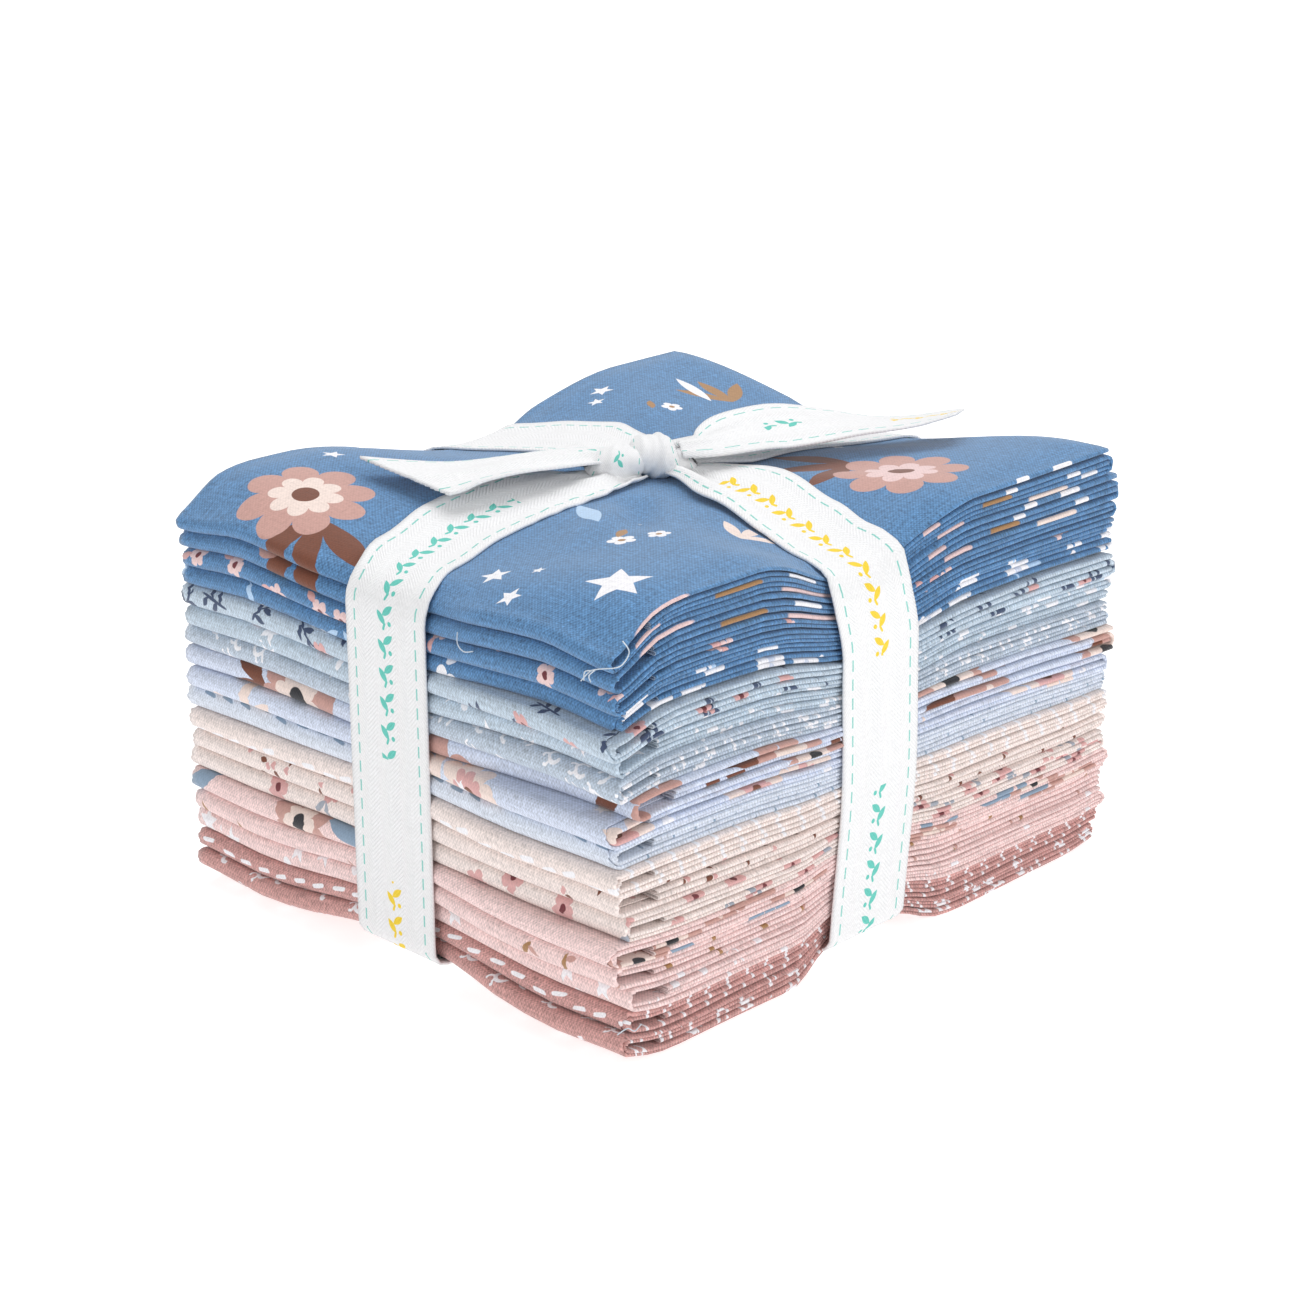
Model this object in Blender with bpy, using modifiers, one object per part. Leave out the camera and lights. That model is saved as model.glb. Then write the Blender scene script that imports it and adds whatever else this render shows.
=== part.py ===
"""Bundle of eighteen folded fat quarters, tied both ways round with one woven tape.

Each cut of quilting cotton is a letter fold: an inner flap, a bottom layer and a top layer,
in one back-and-forth sheet. The cuts lie on each other, pressed down under the tape and
puffed up beside it. Metres, +Z up, origin at the middle of the bundle's underside.
"""

import math

import bmesh
import bpy
from mathutils import Vector

MM = 0.001

# Folded size of a cut: the outer fold is at -X, the sides of the layers show at -Y and +Y
FOLDED_X = 158 * MM
FOLDED_Y = 133 * MM
HALF_X = FOLDED_X / 2
HALF_Y = FOLDED_Y / 2

# The sheet of a cut, and the height that each cut takes in the flat stack
CLOTH = 1.0 * MM
LAYER_PITCH = 1.57 * MM
CUT_PITCH = 4.95 * MM
SMALL_FOLD_STEPS = 4
LARGE_FOLD_STEPS = 4

# The tape, and how it presses the stack: a dip beside it on top, a lift below, its edges drawn
# in, and the share of each cut's stray that it squares up
TAPE_WIDTH = 24 * MM
TAPE = 1.0 * MM
AIR = 0.3 * MM
DIP_START = TAPE_WIDTH / 2 + 1.0 * MM
DIP_END = TAPE_WIDTH / 2 + 19.0 * MM
TOP_DIP_MIDDLE = 3.3 * MM
TOP_DIP_EDGE = 8.6 * MM
LIFT_EDGE = 5.2 * MM
PULL_IN = 2.6 * MM
SQUARED_UP = 0.6

# Height of the puffed top over each corner, and how corners round off
TOP_FRONT = 98.0 * MM
TOP_LEFT = 95.5 * MM
TOP_RIGHT = 97.5 * MM
TOP_BACK = 93.7 * MM
CORNER_REACH = 12.0 * MM
CORNER_DROOP = 3.4 * MM
CORNER_LIFT = 1.9 * MM

# The cuts from the top down: how far each side strays outwards in mm (fold side, far side,
# ridge side, back side), whether the free edge is on top, and the cloth's colour
CUTS = (
    # fold, far, ridge, back, free edge up, colour
    (1.2, -1.0, 0.0, 0.5, True, "denim"),
    (1.0, 1.5, 0.6, 0.0, True, "denim"),
    (1.4, 0.3, 0.8, -0.8, False, "denim"),
    (-0.6, 1.4, -0.4, 0.4, True, "denim"),
    (1.6, 1.0, 0.9, 0.8, True, "mist"),
    (-0.8, 1.6, -0.6, -0.5, False, "mist"),
    (0.2, 0.4, 0.4, 0.6, True, "slate"),
    (-1.6, 1.2, 1.6, 0.0, True, "lavender"),
    (1.8, 0.2, 0.2, -0.9, True, "lavender"),
    (0.4, 1.4, -0.5, 0.7, False, "ice"),
    (1.4, 1.0, 0.7, 0.2, True, "cream"),
    (0.0, 1.7, -0.2, -0.6, True, "cream"),
    (-1.2, 0.8, 0.5, 0.9, True, "cream"),
    (1.5, 1.8, 0.9, 0.0, False, "blush"),
    (0.5, 1.5, -0.4, -0.7, True, "blush"),
    (-1.5, 0.9, 0.8, 0.5, True, "blush"),
    (-1.4, 0.6, 0.0, 0.3, True, "rose"),
    (-0.7, -1.2, 0.6, -0.4, False, "rose"),
)
STACK = CUT_PITCH * (len(CUTS) - 1) + 2 * LAYER_PITCH + CLOTH

# Cloth colours, linear
COLOURS = {
    "denim": (0.105, 0.215, 0.400),
    "mist": (0.560, 0.640, 0.690),
    "slate": (0.400, 0.490, 0.600),
    "lavender": (0.480, 0.560, 0.730),
    "ice": (0.650, 0.730, 0.800),
    "cream": (0.830, 0.790, 0.740),
    "blush": (0.840, 0.640, 0.600),
    "rose": (0.560, 0.290, 0.255),
    "tape": (0.880, 0.880, 0.880),
}
CLOTH_ROUGHNESS = 0.9

# Where the stack's shape changes along X and along Y
STATIONS_X = (-HALF_X + CORNER_REACH, -DIP_END, -DIP_START, DIP_START, DIP_END, HALF_X - CORNER_REACH)
STATIONS_Y = (-DIP_END, -DIP_START, DIP_START, DIP_END)

# The band runs on a stack that is squared up, so its sides stand clear of every cut
BAND_SIDE = 1.0 * MM + AIR + TAPE / 2
BAND_TURN = 3.6 * MM
BAND_TURN_STEPS = 3

# The knot, on the middle of the top, and its height over the cloth
KNOT_LENGTH = 25.6 * MM
KNOT_WIDTH = 16.2 * MM
KNOT_HEIGHT = 9.3 * MM
KNOT_TURN = math.radians(135)
# The cube cage of the knot: the share of it that is drawn round, and the share left square
KNOT_ROUND = 0.5
KNOT_SQUARE = 0.08

# How each band narrows and rises over the cloth as it runs in under the knot
ARMS = (
    # from the middle, width, rise in mm
    (6.7, 11.4, 1.5),
    (10.0, 18.0, 2.4),
    (13.0, 24.0, 2.1),
)

# The tails: the tape's middle line from the knot outwards in mm, its tilt about its run in
# degrees and its width in mm, then how much longer one edge is where the end is cut off
LEFT_TAIL = (
    # x, y, z, tilt, width
    (-11.2, 9.1, 98.4, 2.0, 16.0),
    (-19.0, 13.3, 98.7, 5.0, 21.0),
    (-28.5, 17.6, 98.6, 8.0, 24.0),
    (-38.0, 21.9, 98.0, 5.0, 24.0),
    (-47.0, 27.0, 98.6, -3.0, 24.0),
)
RIGHT_TAIL = (
    # x, y, z, tilt, width
    (10.4, -8.4, 99.1, 0.0, 13.0),
    (21.8, -9.0, 99.4, 0.0, 22.0),
    (32.3, -12.4, 99.2, -2.0, 24.0),
    (42.8, -16.6, 98.2, -8.0, 24.0),
    (52.3, -20.9, 97.3, -14.0, 24.0),
    (61.8, -24.7, 96.7, -17.0, 24.0),
)
TAIL_STEPS = 2
LEFT_TAIL_CUT = 16 * MM
RIGHT_TAIL_CUT = -15 * MM
# Share of the slant that each of the last rows of a tail takes, from the end back
SLANT_SHARES = (1.0, 0.5, 0.15)


def ramp(value, start, end):
    """0 up to start, 1 from end on, smooth between."""
    share = min(1.0, max(0.0, (value - start) / (end - start)))
    return share * share * (3.0 - 2.0 * share)


def mix(low, high, share):
    return low + (high - low) * share


def under_tape(distance):
    """1 under the tape's width, falling to 0 where the dip beside it ends."""
    return 1.0 - ramp(abs(distance), DIP_START, DIP_END)


def along_tape(distance, half, middle, edge):
    """A depth that changes along a band, from the stack's middle to its edge."""
    return mix(middle, edge, ramp(abs(distance), 0.3 * half, half))


def corner(x, y):
    """1 at a corner of the stack, 0 where the rounding begins."""
    near_x = max(0.0, abs(x) - HALF_X + CORNER_REACH) / CORNER_REACH
    near_y = ramp(abs(y), HALF_Y - 2.5 * CORNER_REACH, HALF_Y)
    return near_x * near_y


def top_height(x, y):
    """The puffed top of the stack, with its four pillows between the bands."""
    right = 0.5 + 0.5 * x / HALF_X
    back = 0.5 + 0.5 * y / HALF_Y
    front_side = mix(TOP_FRONT, TOP_RIGHT, right)
    back_side = mix(TOP_LEFT, TOP_BACK, right)
    puffed = mix(front_side, back_side, back)
    lengthwise = under_tape(y) * along_tape(x, HALF_X, TOP_DIP_MIDDLE, TOP_DIP_EDGE)
    crosswise = under_tape(x) * along_tape(y, HALF_Y, TOP_DIP_MIDDLE, TOP_DIP_EDGE)
    return puffed - max(lengthwise, crosswise) - CORNER_DROOP * corner(x, y)


def lengthwise_groove(x):
    """Height of the cloth over the floor where the lengthwise band runs below it."""
    return along_tape(x, HALF_X, 2 * TAPE + 3 * AIR, LIFT_EDGE)


def crosswise_groove(y):
    """Height of the cloth over the floor where only the crosswise band runs below it."""
    return along_tape(y, HALF_Y, TAPE + 2 * AIR, LIFT_EDGE)


def bottom_height(x, y):
    """The underside of the stack: flat but for the two grooves and the lifted corners."""
    lengthwise = under_tape(y) * lengthwise_groove(x)
    crosswise = under_tape(x) * crosswise_groove(y)
    return max(lengthwise, crosswise) + CORNER_LIFT * corner(x, y)


def settled(x, y, level):
    """World place of a sheet's middle that lies at this level of the flat stack."""
    share = (level - CLOTH / 2) / (STACK - CLOTH)
    return Vector((x, y, mix(bottom_height(x, y) + CLOTH / 2, top_height(x, y) - CLOTH / 2, share)))


def pulled_in(level, across):
    """How far the bands draw in the outermost cuts at the stack's edges."""
    outermost = abs(2.0 * level / STACK - 1.0) ** 4
    return PULL_IN * outermost * under_tape(across)


def principled(name, colour, roughness):
    material = bpy.data.materials.new(name)
    material.use_nodes = True
    shader = material.node_tree.nodes["Principled BSDF"]
    shader.inputs["Base Color"].default_value = (*colour, 1.0)
    shader.inputs["Roughness"].default_value = roughness
    shader.inputs["Metallic"].default_value = 0.0
    material.diffuse_color = (*colour, 1.0)
    return material


def letter_fold(fold_end, far_end, free_edge_up):
    """The sheet's middle line in section, as (x, height), from the flap's end to the free edge."""
    levels = [CLOTH / 2 + LAYER_PITCH * step for step in range(3)]
    low, middle, high = levels if free_edge_up else levels[::-1]
    turn = 1.0 if free_edge_up else -1.0
    small = LAYER_PITCH / 2
    large = LAYER_PITCH

    line = [(x, middle) for x in STATIONS_X]
    centre = far_end - small - CLOTH / 2
    for step in range(SMALL_FOLD_STEPS + 1):
        angle = math.pi * (0.5 - step / SMALL_FOLD_STEPS)
        line.append((centre + small * math.cos(angle), (low + middle) / 2 + turn * small * math.sin(angle)))
    line += [(x, low) for x in STATIONS_X[::-1]]
    centre = fold_end + large + CLOTH / 2
    for step in range(LARGE_FOLD_STEPS + 1):
        angle = math.pi * (-0.5 - step / LARGE_FOLD_STEPS)
        line.append((centre + large * math.cos(angle), middle + turn * large * math.sin(angle)))
    line += [(x, high) for x in STATIONS_X]
    line.append((far_end, high))
    return line


def sheet_from_rows(name, rows):
    """An open sheet through rows of places, each row one extrusion of the row before it."""
    mesh = bmesh.new()
    row = [mesh.verts.new(place) for place in rows[0]]
    for first, second in zip(row, row[1:]):
        mesh.edges.new((first, second))
    for places in rows[1:]:
        edges = [mesh.edges.get((first, second)) for first, second in zip(row, row[1:])]
        result = bmesh.ops.extrude_edge_only(mesh, edges=edges)["geom"]
        born = {vertex for vertex in result if isinstance(vertex, bmesh.types.BMVert)}
        next_row = []
        for vertex in row:
            neighbours = [edge.other_vert(vertex) for edge in vertex.link_edges]
            next_row.append(next(neighbour for neighbour in neighbours if neighbour in born))
        for vertex, place in zip(next_row, places):
            vertex.co = place
        row = next_row
    split_outwards(mesh)
    data = bpy.data.meshes.new(name)
    mesh.to_mesh(data)
    mesh.free()
    return data


def split_outwards(mesh):
    """Split each four-sided face along the diagonal that crosses the way to the stack's corner."""
    for face in list(mesh.faces):
        if len(face.verts) != 4:
            continue
        reach = [abs(vertex.co.x) + abs(vertex.co.y) for vertex in face.verts]
        farthest = reach.index(max(reach))
        first = face.verts[(farthest + 1) % 4]
        second = face.verts[(farthest + 3) % 4]
        bmesh.utils.face_split(face, first, second)


def thicken(piece, thickness):
    solid = piece.modifiers.new("Thickness", "SOLIDIFY")
    solid.thickness = thickness
    solid.offset = 0.0
    solid.use_even_offset = True
    solid.use_quality_normals = True


def add_piece(name, data, material, thickness):
    piece = bpy.data.objects.new(name, data)
    data.materials.append(material)
    bundle.objects.link(piece)
    thicken(piece, thickness)
    data.shade_smooth()
    data.set_sharp_from_angle(angle=math.radians(40))
    return piece


def fold_cut(number, row):
    """One folded fat quarter, counted from the top of the stack."""
    fold, far, ridge, back, free_edge_up, colour = row
    base = CUT_PITCH * (len(CUTS) - number)
    ends_y = (-HALF_Y - ridge * MM, HALF_Y + back * MM)
    rows = []
    for y in (ends_y[0], *STATIONS_Y, ends_y[1]):
        drawn = pulled_in(base + LAYER_PITCH, y)
        kept = 1.0 - SQUARED_UP * under_tape(y)
        fold_end = -HALF_X - fold * MM * kept + drawn
        far_end = HALF_X + far * MM * kept - drawn
        places = []
        for x, height in letter_fold(fold_end, far_end, free_edge_up):
            side = y
            if y in ends_y:
                stray = y - math.copysign(HALF_Y, y)
                side -= stray * SQUARED_UP * under_tape(x)
                side -= math.copysign(pulled_in(base + LAYER_PITCH, x), y)
            places.append(settled(x, side, base + height))
        rows.append(places)
    name = f"fat_quarter_{number:02d}"
    return add_piece(name, sheet_from_rows(name, rows), materials[colour], CLOTH)


def turn_corner(start, corner_point, end, radius):
    """Points of a round corner between two straight runs."""
    into = (start - corner_point).normalized()
    out = (end - corner_point).normalized()
    half_angle = into.angle(out) / 2
    length = radius / math.tan(half_angle)
    centre = corner_point + (into + out).normalized() * radius / math.sin(half_angle)
    first = (corner_point + into * length - centre).normalized()
    last = (corner_point + out * length - centre).normalized()
    shares = [step / BAND_TURN_STEPS for step in range(BAND_TURN_STEPS + 1)]
    return [centre + first.slerp(last, share) * radius for share in shares]


def band_line(half, stations, cloth_top, cloth_bottom, groove):
    """Half of a band in its own plane, as (run, height): over the top, down the side and under."""
    over = AIR + TAPE / 2
    side = half + BAND_SIDE
    runs = [run for run in stations if run > DIP_START]
    line = [Vector((run * MM, cloth_top(run * MM) + over + rise * MM)) for run, width, rise in ARMS]
    line += [Vector((run, cloth_top(run) + over)) for run in runs]
    shoulder = Vector((side, cloth_top(half) + over))
    foot = Vector((side, cloth_bottom(half) - over))
    line += turn_corner(line[-1], shoulder, foot, BAND_TURN)
    under = [Vector((run, groove(run) - over)) for run in (*runs[::-1], DIP_START)]
    line += turn_corner(shoulder, foot, under[0], BAND_TURN)
    return line + under


def tie_band(name, half, stations, place, groove):
    """One band of the tape round the stack, from one side of the knot to the other."""
    halves = []
    for sign in (-1.0, 1.0):
        line = band_line(
            half,
            stations,
            lambda run, sign=sign: top_height(*place(sign * run, 0.0)),
            lambda run, sign=sign: bottom_height(*place(sign * run, 0.0)),
            groove,
        )
        halves.append([Vector((sign * point.x, point.y)) for point in line])
    line = halves[0] + halves[1][::-1]
    rows = []
    for number, (run, height) in enumerate(line):
        from_end = min(number, len(line) - 1 - number)
        width = ARMS[from_end][1] * MM if from_end < len(ARMS) else TAPE_WIDTH
        row = []
        for side in (-0.5, 0.5):
            across = side * width
            on_top = height > STACK / 2
            lean = top_height(*place(run, across)) - top_height(*place(run, 0.0)) if on_top else 0.0
            row.append(Vector((*place(run, across), height + lean)))
        rows.append(row)
    return add_piece(name, sheet_from_rows(name, rows), materials["tape"], TAPE)


def curve_value(before, start, end, after, t):
    """A value on the smooth curve from start to end, with its slopes set by the neighbours."""
    slope = end - before
    bend = 2 * before - 5 * start + 4 * end - after
    twist = 3 * start - before - 3 * end + after
    return start + 0.5 * (slope * t + bend * t**2 + twist * t**3)


def smooth_rows(table, steps):
    """Places between the table's rows on a smooth curve through them."""
    rows = [list(row) for row in table]
    result = []
    for number in range(len(rows) - 1):
        before = rows[max(number - 1, 0)]
        start = rows[number]
        end = rows[number + 1]
        after = rows[min(number + 2, len(rows) - 1)]
        for step in range(steps):
            t = step / steps
            columns = zip(before, start, end, after)
            result.append([curve_value(*column, t) for column in columns])
    result.append(rows[-1])
    return result


def lay_tail(name, table, cut):
    """A free end of the tape, from the knot outwards, cut off at a slant."""
    rows = []
    places = smooth_rows(table, TAIL_STEPS)
    for number, (x, y, z, tilt, width) in enumerate(places):
        before = places[max(number - 1, 0)]
        after = places[min(number + 1, len(places) - 1)]
        run = Vector((after[0] - before[0], after[1] - before[1], after[2] - before[2])).normalized()
        level = run.cross(Vector((0.0, 0.0, 1.0))).normalized()
        across = level * math.cos(math.radians(tilt)) + run.cross(level) * math.sin(math.radians(tilt))
        middle = Vector((x, y, z)) * MM
        from_end = len(places) - 1 - number
        slant = run * cut / 2 * (SLANT_SHARES[from_end] if from_end < len(SLANT_SHARES) else 0.0)
        side = across * width * MM / 2
        rows.append([middle + side + slant, middle - side - slant])
    return add_piece(name, sheet_from_rows(name, rows), materials["tape"], TAPE)


def tie_knot():
    """The knot: a squashed lump of wrapped tape, longer along the line of its two tails."""
    base = top_height(0.0, 0.0) + TAPE + 2 * AIR
    cage = bmesh.new()
    bmesh.ops.create_cube(cage, size=1.0)
    bmesh.ops.subdivide_edges(cage, edges=cage.edges[:], cuts=1, use_grid_fill=True)
    for vertex in cage.verts:
        shape = vertex.co.normalized() * KNOT_ROUND + vertex.co * KNOT_SQUARE
        vertex.co = Vector((shape.x * KNOT_LENGTH, shape.y * KNOT_WIDTH, shape.z * KNOT_HEIGHT))
    lowest = min(vertex.co.z for vertex in cage.verts)
    data = bpy.data.meshes.new("tape_knot")
    cage.to_mesh(data)
    cage.free()
    knot = bpy.data.objects.new("tape_knot", data)
    data.materials.append(materials["tape"])
    data.shade_smooth()
    knot.location = (0.0, 0.0, base - lowest)
    knot.rotation_euler = (0.0, 0.0, KNOT_TURN)
    bundle.objects.link(knot)
    soft = knot.modifiers.new("Soft", "SUBSURF")
    soft.levels = 1
    soft.render_levels = 1
    return knot


for leftover in list(bpy.data.objects):
    bpy.data.objects.remove(leftover, do_unlink=True)

bundle = bpy.data.collections.new("fat_quarter_bundle")
bpy.context.scene.collection.children.link(bundle)
materials = {name: principled(name, colour, CLOTH_ROUGHNESS) for name, colour in COLOURS.items()}

for number, row in enumerate(CUTS, start=1):
    fold_cut(number, row)

tie_band("tape_lengthwise", HALF_X, STATIONS_X, lambda run, across: (run, across), lengthwise_groove)
tie_band("tape_crosswise", HALF_Y, STATIONS_Y, lambda run, across: (across, run), crosswise_groove)
tie_knot()
lay_tail("tape_tail_left", LEFT_TAIL, LEFT_TAIL_CUT)
lay_tail("tape_tail_right", RIGHT_TAIL, RIGHT_TAIL_CUT)
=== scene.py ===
import math

import bmesh
import bpy
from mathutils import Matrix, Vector, noise


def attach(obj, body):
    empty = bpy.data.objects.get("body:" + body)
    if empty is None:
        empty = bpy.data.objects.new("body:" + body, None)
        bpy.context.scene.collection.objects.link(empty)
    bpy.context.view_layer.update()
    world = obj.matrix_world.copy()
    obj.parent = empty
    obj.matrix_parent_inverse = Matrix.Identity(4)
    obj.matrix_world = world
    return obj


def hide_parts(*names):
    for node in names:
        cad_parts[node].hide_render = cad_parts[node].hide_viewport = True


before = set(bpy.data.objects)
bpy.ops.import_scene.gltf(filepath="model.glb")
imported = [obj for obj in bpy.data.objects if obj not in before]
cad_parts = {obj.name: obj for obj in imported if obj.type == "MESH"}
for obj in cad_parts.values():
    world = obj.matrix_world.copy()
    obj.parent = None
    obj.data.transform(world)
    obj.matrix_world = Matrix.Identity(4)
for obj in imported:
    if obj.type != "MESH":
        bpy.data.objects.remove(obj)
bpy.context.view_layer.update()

MM = 0.001

# The table and the light: the bundle stands on a plain white surface in a bright studio, lit by a
# broad soft box overhead, a second one from the left and a weaker one from the right.
FLOOR_HALF = 12.0
FLOOR_COLOUR = (0.64, 0.64, 0.64)
FLOOR_GLOW = 0.64
ROOM_LIGHT = 0.46


def into_scene(name, mesh, finishes):
    """Makes a bmesh an object of the scene, with these materials."""
    data = bpy.data.meshes.new(name)
    mesh.to_mesh(data)
    mesh.free()
    for finish in finishes:
        data.materials.append(finish)
    made = bpy.data.objects.new(name, data)
    bpy.context.scene.collection.objects.link(made)
    return made


floor_finish = bpy.data.materials.new("plain_table")
floor_finish.use_nodes = True
floor_shader = floor_finish.node_tree.nodes["Principled BSDF"]
floor_shader.inputs["Base Color"].default_value = (*FLOOR_COLOUR, 1.0)
floor_shader.inputs["Roughness"].default_value = 0.9
floor_shader.inputs["Emission Color"].default_value = (1.0, 1.0, 1.0, 1.0)
floor_shader.inputs["Emission Strength"].default_value = FLOOR_GLOW
bare = bmesh.new()
bmesh.ops.create_grid(bare, x_segments=1, y_segments=1, size=FLOOR_HALF)
floor = into_scene("floor", bare, (floor_finish,))

room = bpy.data.worlds.new("studio")
room.use_nodes = True
room.node_tree.nodes["Background"].inputs["Color"].default_value = (1.0, 1.0, 1.0, 1.0)
room.node_tree.nodes["Background"].inputs["Strength"].default_value = ROOM_LIGHT
bpy.context.scene.world = room
bpy.context.scene.view_settings.view_transform = "Standard"

SOFT_BOXES = (
    # name, place, aimed at, width, watts
    ("overhead", (0.30, 0.35, 1.15), (0.0, 0.0, 0.05), 1.0, 9.5),
    ("from_left", (-1.30, -0.30, 0.75), (0.0, 0.0, 0.05), 0.8, 4.5),
    ("from_right", (0.35, -1.40, 0.70), (0.0, 0.0, 0.05), 0.8, 8.3),
)
for name, place, aim, width, watts in SOFT_BOXES:
    lamp = bpy.data.lights.new(name, "AREA")
    lamp.shape = "SQUARE"
    lamp.size = width
    lamp.energy = watts
    box = bpy.data.objects.new(name, lamp)
    box.location = place
    box.rotation_euler = (Vector(aim) - Vector(place)).to_track_quat("-Z", "Y").to_euler()
    bpy.context.scene.collection.objects.link(box)

# The camera looks down on the corner where the smooth folds and the ridged side meet. Its place
# is given as a turn round the bundle, a height over the table and a distance, all from the photo.
CAMERA_TURN = math.radians(-46.055)
CAMERA_RISE = math.radians(21.764)
CAMERA_DISTANCE = 0.77886
CAMERA_AIM = Vector((0.0, 0.0, 0.04736))
CAMERA_LENS = 95.6
FRAME_PIXELS = 1300
AIM_PIXELS = (2.95, 18.69)

away = Vector((
    math.sin(CAMERA_TURN) * math.cos(CAMERA_RISE),
    -math.cos(CAMERA_TURN) * math.cos(CAMERA_RISE),
    math.sin(CAMERA_RISE),
))
lens = bpy.data.cameras.new("camera")
lens.lens = CAMERA_LENS
lens.shift_x = -AIM_PIXELS[0] / FRAME_PIXELS
lens.shift_y = AIM_PIXELS[1] / FRAME_PIXELS
camera = bpy.data.objects.new("camera", lens)
camera.location = CAMERA_AIM + away * CAMERA_DISTANCE
camera.rotation_euler = (-away).to_track_quat("-Z", "Y").to_euler()
bpy.context.scene.collection.objects.link(camera)
bpy.context.scene.camera = camera

# The stack of folded cloth: eighteen cuts of thin quilting cotton, each folded back and forth in
# four and then like a letter in three, lie on each other. The tie presses them together, so the
# top sinks under it and puffs up in four pillows beside it, and the underside lifts off the table.
HALF_X = 79 * MM
HALF_Y = 66.5 * MM
CLOTH = 0.25 * MM
PLIES = 4
LAYERS = 3
CUT_COUNT = 18
STACK = 88.29 * MM
PLY = STACK / (CUT_COUNT * PLIES * LAYERS)
LAYER = PLIES * PLY
CUT = LAYERS * LAYER

TAPE_WIDTH = 24 * MM
TAPE = 0.55 * MM
TOP_FRONT = 100.3 * MM
TOP_LEFT = 97.2 * MM
TOP_RIGHT = 97.6 * MM
TOP_BACK = 92.6 * MM
DIP_MIDDLE = 3.4 * MM
DIP_EDGE = 9.0 * MM
LIFT_MIDDLE = 2.9 * MM
LIFT_EDGE = 5.0 * MM
PULL_IN = 2.6 * MM
SQUARED_UP = 0.6
PRESS = 3.5
LOOSE_RIGHT = 0.22
EDGE_REACH = 8 * MM
EDGE_ROUND = 1.0 * MM
SHOULDER_ROUND = 2.4 * MM
FOLD_REACH = 21 * MM
FOLD_ROUND = 5.4 * MM
FOLD_LIFT = 2.4 * MM
CORNER_REACH = 12 * MM
CORNER_LENGTHEN = 1.8
LEFT_DROOP = 2.6 * MM
FRONT_DROOP = 2.4 * MM
CORNER_LIFT = 1.2 * MM
HELD_REACH = 18 * MM
DEEPER_FROM = 0.3
PLY_WAVE = 1.1 * MM

# The valleys that the bands press in, in mm: where the middle lies, and how far the valley reaches
# before and behind it, each at the band's two ends, with the one at -X or -Y first
LENGTHWISE_VALLEY = ((1.0, 1.0), (54.0, 60.0), (52.0, 64.0))
CROSSWISE_VALLEY = ((-6.5, 4.0), (33.0, 54.0), (37.0, 52.0))

# The underside is off the table up to the first distance from a band's middle, and on it from the
# second on. Under the crosswise band that middle lies a little to the left.
LIFT_LENGTHWISE = (8 * MM, 46 * MM)
LIFT_CROSSWISE = (9 * MM, 25 * MM)
LIFT_ASIDE = 2 * MM

# Soft creases that the pull of the knot leaves in the topmost plies, from one end to the other
CREASE_FADE = 12
CREASES = (
    # from x, y, to x, y, height and half width, in mm
    (-14, -9, -36, -32, -2.1, 3.6),
    (-22, -10, -52, -28, 1.4, 4.4),
    (13, 14, 42, 34, -0.8, 5.0),
    (14, 22, 50, 52, 0.6, 6.0),
    (-16, 15, -60, 24, 0.9, 7.0),
    (-14, 24, -52, 48, -0.7, 7.0),
    (24, -14, 62, -30, 0.9, 7.0),
    (18, -22, 48, -52, -0.9, 5.0),
    (-8, -20, -20, -56, 0.8, 4.0),
)


def ramp(value, start, end):
    """0 up to start, 1 from end on, smooth between."""
    share = min(1.0, max(0.0, (value - start) / (end - start)))
    return share * share * (3.0 - 2.0 * share)


def mix(low, high, share):
    return low + (high - low) * share


def held(distance):
    """1 under a band, falling to 0 a little way beside it."""
    return 1.0 - ramp(abs(distance), 0.5 * TAPE_WIDTH, 0.5 * TAPE_WIDTH + HELD_REACH)


def valley(place, share, sizes):
    """1 in the middle of the valley that a band presses in, 0 where it ends on either side."""
    middle, before, after = (mix(low, high, share) * MM for low, high in sizes)
    distance = place - middle
    return 1.0 - ramp(abs(distance), 0.0, before if distance < 0.0 else after)


def near_edge(distance, half, reach):
    return ramp(abs(distance), half - reach, half)


def crease(x, y):
    """Height that the soft creases add to the top cloth here."""
    total = 0.0
    for from_x, from_y, to_x, to_y, height, width in CREASES:
        start = Vector((from_x, from_y)) * MM
        run = Vector((to_x, to_y)) * MM - start
        along = (Vector((x, y)) - start).dot(run) / run.length_squared
        if 0.0 < along < 1.0:
            aside = (Vector((x, y)) - start - run * along).length / (width * MM)
            total += height * MM * math.exp(-aside * aside) * math.sin(math.pi * along)
    return total


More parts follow.
